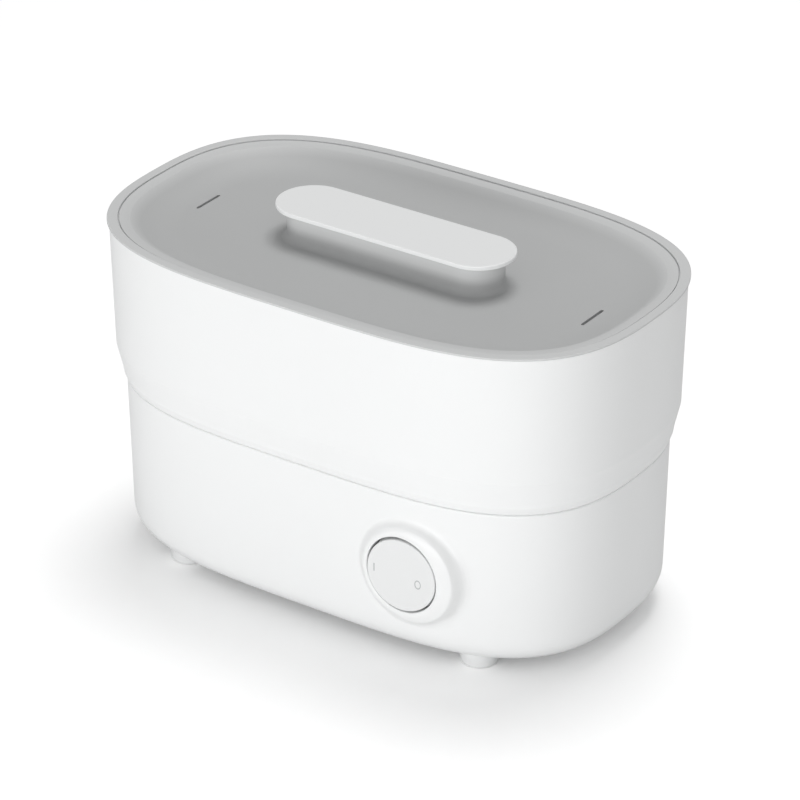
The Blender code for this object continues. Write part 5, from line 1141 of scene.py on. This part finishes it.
class STERILIZER_OT_inside(bpy.types.Operator):
    """Makes the bottle basket, the accessory tray and the heating plate"""
    bl_idname = "sterilizer.inside"
    bl_label = "Basket, tray and plate"

    def execute(self, context):
        self.basket(context.scene.sterilizer_sizes)
        self.tray(context.scene.sterilizer_sizes)
        self.plate()
        return {"FINISHED"}

    def basket(self, sizes):
        low, top = (corner.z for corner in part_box("bottle_basket"))
        tub = tub_inner()
        (upper, upper_z), (lower, lower_z) = tub[-2:]
        foot = upper + (lower - upper) * (upper_z - low) / (upper_z - lower_z) + NEST_CLEAR
        flange = chamber_inset(top - BASKET_WALL) + WALL + FLANGE_CLEAR
        line = [(a + NEST_CLEAR, b + NEST_CLEAR) for a, b in tub[1:-1]]
        outside = [(foot + FLOOR_EDGE, low, 0), (foot, low, 0.0035)]
        outside += [(a, b, 0.0015) for a, b in line[::-1]]
        outside += [
            (line[0][0], top - BASKET_WALL, 0.0008), (flange, top - BASKET_WALL, 0.0005),
            (flange, top, 0.0005), (line[0][0] + BASKET_WALL, top, 0.0012)]
        inside = [(a + BASKET_WALL, b + BASKET_WALL / 4, 0.0015) for a, b in line]
        floor_z = low + BASKET_FLOOR
        inside += [(foot + BASKET_WALL, floor_z, 0.0035), (foot + FLOOR_EDGE, floor_z, 0)]
        bm = shell(rounded(outside + inside), even_turns(RING_POINTS), loop=False)
        slots = bmesh.new()
        places = paired_places(sizes.length * BASKET_PITCH, sizes.width * BASKET_ACROSS)
        slot_row(slots, places, sizes.width * BASKET_SLOT, low - SLOT_DEPTH, low + SLOT_RISE)
        places = [((index - 2.5) * sizes.length * WALL_SLOT_PITCH, 0) for index in range(6)]
        wall_low = low + WALL_SLOT_LOW
        slot_row(slots, places, sizes.width, wall_low, wall_low + TALL, axis=1)
        bm = cut(bm, slots)
        peg_line = rounded([
            (0, low + 0.001, 0), (0.0042, low + 0.001, 0), (0.0022, low + TALL, 0.002),
            (0, low + TALL, 0)], steps=6)
        for column in (-1, 0, 1):
            for side in (1, -1):
                peg = turned(peg_line, 48, loop=False)
                place = (column * sizes.length / 4, side * sizes.width * PEG_ACROSS, 0)
                bmesh.ops.translate(peg, verts=peg.verts, vec=place)
                bm = join(bm, peg)
        new_piece(
            "basket_form", bm, FINISHES["natural_polypropylene"], "basket",
            ["bottle_basket"])

    def tray(self, sizes):
        floor_z, grip_top = (corner.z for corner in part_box("accessory_tray"))
        top = grip_top - GRIP_HEIGHT
        low = top - TRAY_WALL
        flange = chamber_inset(low) + WALL + FLANGE_CLEAR
        neck = flange + 0.003
        foot = neck + 0.004
        inner_z = floor_z + TRAY_FLOOR
        corners = [
            (foot + FLOOR_EDGE, floor_z, 0), (foot, floor_z, 0.0045), (neck, low, 0.0006),
            (flange, low, 0.0005), (flange, top, 0.0005), (neck + TRAY_WALL, top, 0.001),
            (foot + TRAY_WALL, inner_z, 0.0045), (foot + FLOOR_EDGE, inner_z, 0)]
        bm = shell(rounded(corners), even_turns(RING_POINTS), loop=False)
        slots = bmesh.new()
        places = paired_places(sizes.length * TRAY_PITCH, sizes.width * TRAY_ACROSS)
        slot_row(slots, places, sizes.width * TRAY_SLOT, floor_z - SLOT_DEPTH, floor_z + SLOT_RISE)
        bm = cut(bm, slots)
        end = sizes.length / 2 - flange - GRIP_THICKNESS
        for side in (1, -1):
            grip = bmesh.new()
            near, far = sorted((side * (end - GRIP_THICKNESS), side * end))
            verts = add_block(
                grip, (near, -GRIP_HALF_WIDTH, top - TRAY_WALL / 2),
                (far, GRIP_HALF_WIDTH, top + GRIP_HEIGHT))
            edges = list({edge for vertex in verts for edge in vertex.link_edges
                          if all(v.co.z > top for v in edge.verts)})
            bmesh.ops.bevel(
                grip, geom=edges, offset=0.0006, segments=4, profile=0.5, affect="EDGES", material=-1)
            bm = join(bm, grip)
        new_piece("tray_form", bm, FINISHES["natural_polypropylene"], "tray",
                  ["accessory_tray"])

    def plate(self):
        low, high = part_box("heating_plate")
        rim, well = high.x, high.x - 0.011
        top, floor_z = high.z, high.z - 0.0037
        profile = rounded([
            (0, floor_z, 0), (well, floor_z, 0.002), (well + 0.003, top, 0.0012), (rim, top, 0.0003),
            (rim, top - PLATE_METAL, 0.0003), (well + 0.0035, top - PLATE_METAL, 0.0016),
            (well + 0.0005, floor_z - PLATE_METAL, 0.002), (0, floor_z - PLATE_METAL, 0)], steps=6)
        bm = turned(profile, 192, loop=False)
        studs = bmesh.new()
        stud_top = floor_z - PLATE_METAL / 2
        for name in ("left", "right"):
            place = (*middle_of("bracket_screw_" + name), (low.z + stud_top) / 2)
            add_rod(studs, place, 0.0025, stud_top - low.z, sides=32)
        bm = join(bm, studs)
        new_piece(
            "plate_dish", bm, FINISHES["stainless_steel"], "base",
            ["heating_plate"])


# Finishes of the CAD nodes that show as they are

class STERILIZER_OT_inner_nodes(bpy.types.Operator):
    """Gives every carried-over CAD node its finish"""
    bl_idname = "sterilizer.inner_nodes"
    bl_label = "Inner nodes"

    def execute(self, context):
        slots = {part["node"]: part["material_slot"] for part in frame["record"]["subparts"]}
        for name, node in frame["nodes"].items():
            finish = FINISHES[slots[name]]
            for slot in node.material_slots:
                slot.material = finish
        return {"FINISHED"}


# Stage

class STERILIZER_OT_stage(bpy.types.Operator):
    """Sets the camera, the floor, the surroundings and the lamps"""
    bl_idname = "sterilizer.stage"
    bl_label = "Stage"

    def execute(self, context):
        settings = context.scene.sterilizer_stage
        self.camera(context.scene, settings)
        self.floor()
        self.surroundings(context.scene, settings)
        self.lamps(settings)
        context.scene.view_settings.view_transform = "Standard"
        return {"FINISHED"}

    def camera(self, scene, settings):
        azimuth, elevation = settings.azimuth, settings.elevation
        right = Vector((math.cos(azimuth), math.sin(azimuth), 0))
        up = Vector((
            -math.sin(azimuth) * math.sin(elevation), math.cos(azimuth) * math.sin(elevation),
            math.cos(elevation)))
        back = right.cross(up)
        data = bpy.data.cameras.new("camera")
        data.sensor_width = 36
        data.lens = settings.lens
        data.clip_end = 50
        camera = bpy.data.objects.new("camera", data)
        matrix = Matrix((right, up, back)).transposed().to_4x4()
        matrix.translation = (
            Vector((0, 0, RIM_Z)) + 0.002326 * right - 0.073625 * up + settings.distance * back)
        camera.matrix_world = matrix
        scene.collection.objects.link(camera)
        scene.camera = camera

    def floor(self):
        colour = list(bpy.context.scene.sterilizer_colours.floor)
        made, tree, shader, place = new_material("pale studio floor", {"Roughness": 0.9})
        speck = add_node(
            tree, "ShaderNodeTexNoise", {"Scale": 1 / (60 * MM), "Detail": 2}, {"Vector": (place, "Object")})
        tint = add_node(tree, "ShaderNodeMix", {"data_type": "RGBA"}, {"Factor": (speck, "Fac")})
        tint.inputs[6].default_value = (*[c * 0.995 for c in colour], 1)
        tint.inputs[7].default_value = (*colour, 1)
        plain = add_node(tree, "ShaderNodeBsdfDiffuse", links={"Color": (tint, 2)})
        near = add_node(tree, "ShaderNodeBsdfDiffuse", {"Color": (1.3, 1.3, 1.3, 1)})
        # away from the object the floor runs out to plain white
        far = add_node(tree, "ShaderNodeEmission", {"Color": (1, 1, 1, 1), "Strength": 1.0})
        reach = add_node(
            tree, "ShaderNodeVectorMath", {"operation": "LENGTH"}, {"Vector": (place, "Object")})
        share = add_node(
            tree, "ShaderNodeMapRange", {"From Min": 0.4, "From Max": 0.8, "To Min": 0.0, "To Max": 1.0},
            {"Value": (reach, "Value")})
        bright = add_node(tree, "ShaderNodeMixShader", links={"Fac": (share, "Result")})
        tree.links.new(near.outputs[0], bright.inputs[1])
        tree.links.new(far.outputs[0], bright.inputs[2])
        rays = add_node(tree, "ShaderNodeLightPath")
        seen = add_node(
            tree, "ShaderNodeMath", {"operation": "MAXIMUM"})
        tree.links.new(rays.outputs["Is Camera Ray"], seen.inputs[0])
        tree.links.new(rays.outputs["Is Transmission Ray"], seen.inputs[1])
        mixed = add_node(tree, "ShaderNodeMixShader", links={"Fac": (seen, "Value")})
        tree.links.new(plain.outputs[0], mixed.inputs[1])
        tree.links.new(bright.outputs[0], mixed.inputs[2])
        tree.links.new(mixed.outputs[0], tree.nodes["Material Output"].inputs["Surface"])
        bm = bmesh.new()
        bmesh.ops.create_grid(bm, x_segments=4, y_segments=4, size=3)
        mesh = bpy.data.meshes.new("studio_floor")
        bm.to_mesh(mesh)
        bm.free()
        mesh.materials.append(made)
        item = bpy.data.objects.new("studio_floor", mesh)
        bpy.context.scene.collection.objects.link(item)

    def surroundings(self, scene, settings):
        world = bpy.data.worlds.new("studio")
        scene.world = world
        world.use_nodes = True
        tree = world.node_tree
        even = tree.nodes["Background"]
        even.inputs["Color"].default_value = (1, 1, 1, 1)
        even.inputs["Strength"].default_value = settings.fill
        white = add_node(tree, "ShaderNodeBackground", {"Color": (1, 1, 1, 1), "Strength": 1.0})
        rays = add_node(tree, "ShaderNodeLightPath")
        seen = add_node(tree, "ShaderNodeMath", {"operation": "MAXIMUM"})
        tree.links.new(rays.outputs["Is Camera Ray"], seen.inputs[0])
        tree.links.new(rays.outputs["Is Transmission Ray"], seen.inputs[1])
        mixed = add_node(tree, "ShaderNodeMixShader", links={"Fac": (seen, "Value")})
        tree.links.new(even.outputs[0], mixed.inputs[1])
        tree.links.new(white.outputs[0], mixed.inputs[2])
        tree.links.new(mixed.outputs[0], tree.nodes["World Output"].inputs["Surface"])

    def lamps(self, settings):
        target = Vector((0, 0, 0.09))
        for name, place, size, power in (
                ("front_light", (0.3, -1.6, 0.26), (4.4, 0.4), settings.key),
                ("top_light", (-0.1, 0.6, 2.1), (1.1, 1.1), settings.top)):
            data = bpy.data.lights.new(name, "AREA")
            data.shape = "ELLIPSE"
            data.size, data.size_y = size
            data.energy = power
            lamp = bpy.data.objects.new(name, data)
            lamp.location = place
            lamp.rotation_euler = (target - Vector(place)).to_track_quat("-Z", "Y").to_euler()
            bpy.context.scene.collection.objects.link(lamp)


class STERILIZER_PT_panel(bpy.types.Panel):
    """Lists the sterilizer's makers and settings"""
    bl_label = "Steam sterilizer"
    bl_idname = "STERILIZER_PT_panel"
    bl_space_type = "VIEW_3D"
    bl_region_type = "UI"
    bl_category = "Sterilizer"

    def draw(self, context):
        for group in ("sterilizer_sizes", "sterilizer_colours", "sterilizer_stage"):
            settings = getattr(context.scene, group)
            box = self.layout.box()
            for name in settings.__annotations__:
                box.prop(settings, name)
        for maker in MAKERS:
            self.layout.operator(maker.bl_idname)


GROUPS = {
    "sterilizer_sizes": SterilizerSizes,
    "sterilizer_colours": SterilizerColours,
    "sterilizer_stage": SterilizerStage,
}
MAKERS = (
    STERILIZER_OT_stage, STERILIZER_OT_inner_nodes, STERILIZER_OT_base, STERILIZER_OT_switch,
    STERILIZER_OT_tub, STERILIZER_OT_chamber, STERILIZER_OT_lid, STERILIZER_OT_handle,
    STERILIZER_OT_inside)


def register():
    for name, group in GROUPS.items():
        bpy.utils.register_class(group)
        setattr(bpy.types.Scene, name, PointerProperty(type=group))
    for maker in (*MAKERS, STERILIZER_PT_panel):
        bpy.utils.register_class(maker)


def unregister():
    for maker in (STERILIZER_PT_panel, *MAKERS[::-1]):
        bpy.utils.unregister_class(maker)
    for name, group in GROUPS.items():
        delattr(bpy.types.Scene, name)
        bpy.utils.unregister_class(group)


def main():
    register()
    FINISHES.update(make_finishes())
    for maker in MAKERS:
        area, name = maker.bl_idname.split(".")
        getattr(getattr(bpy.ops, area), name)()


if __name__ == "__main__":
    main()
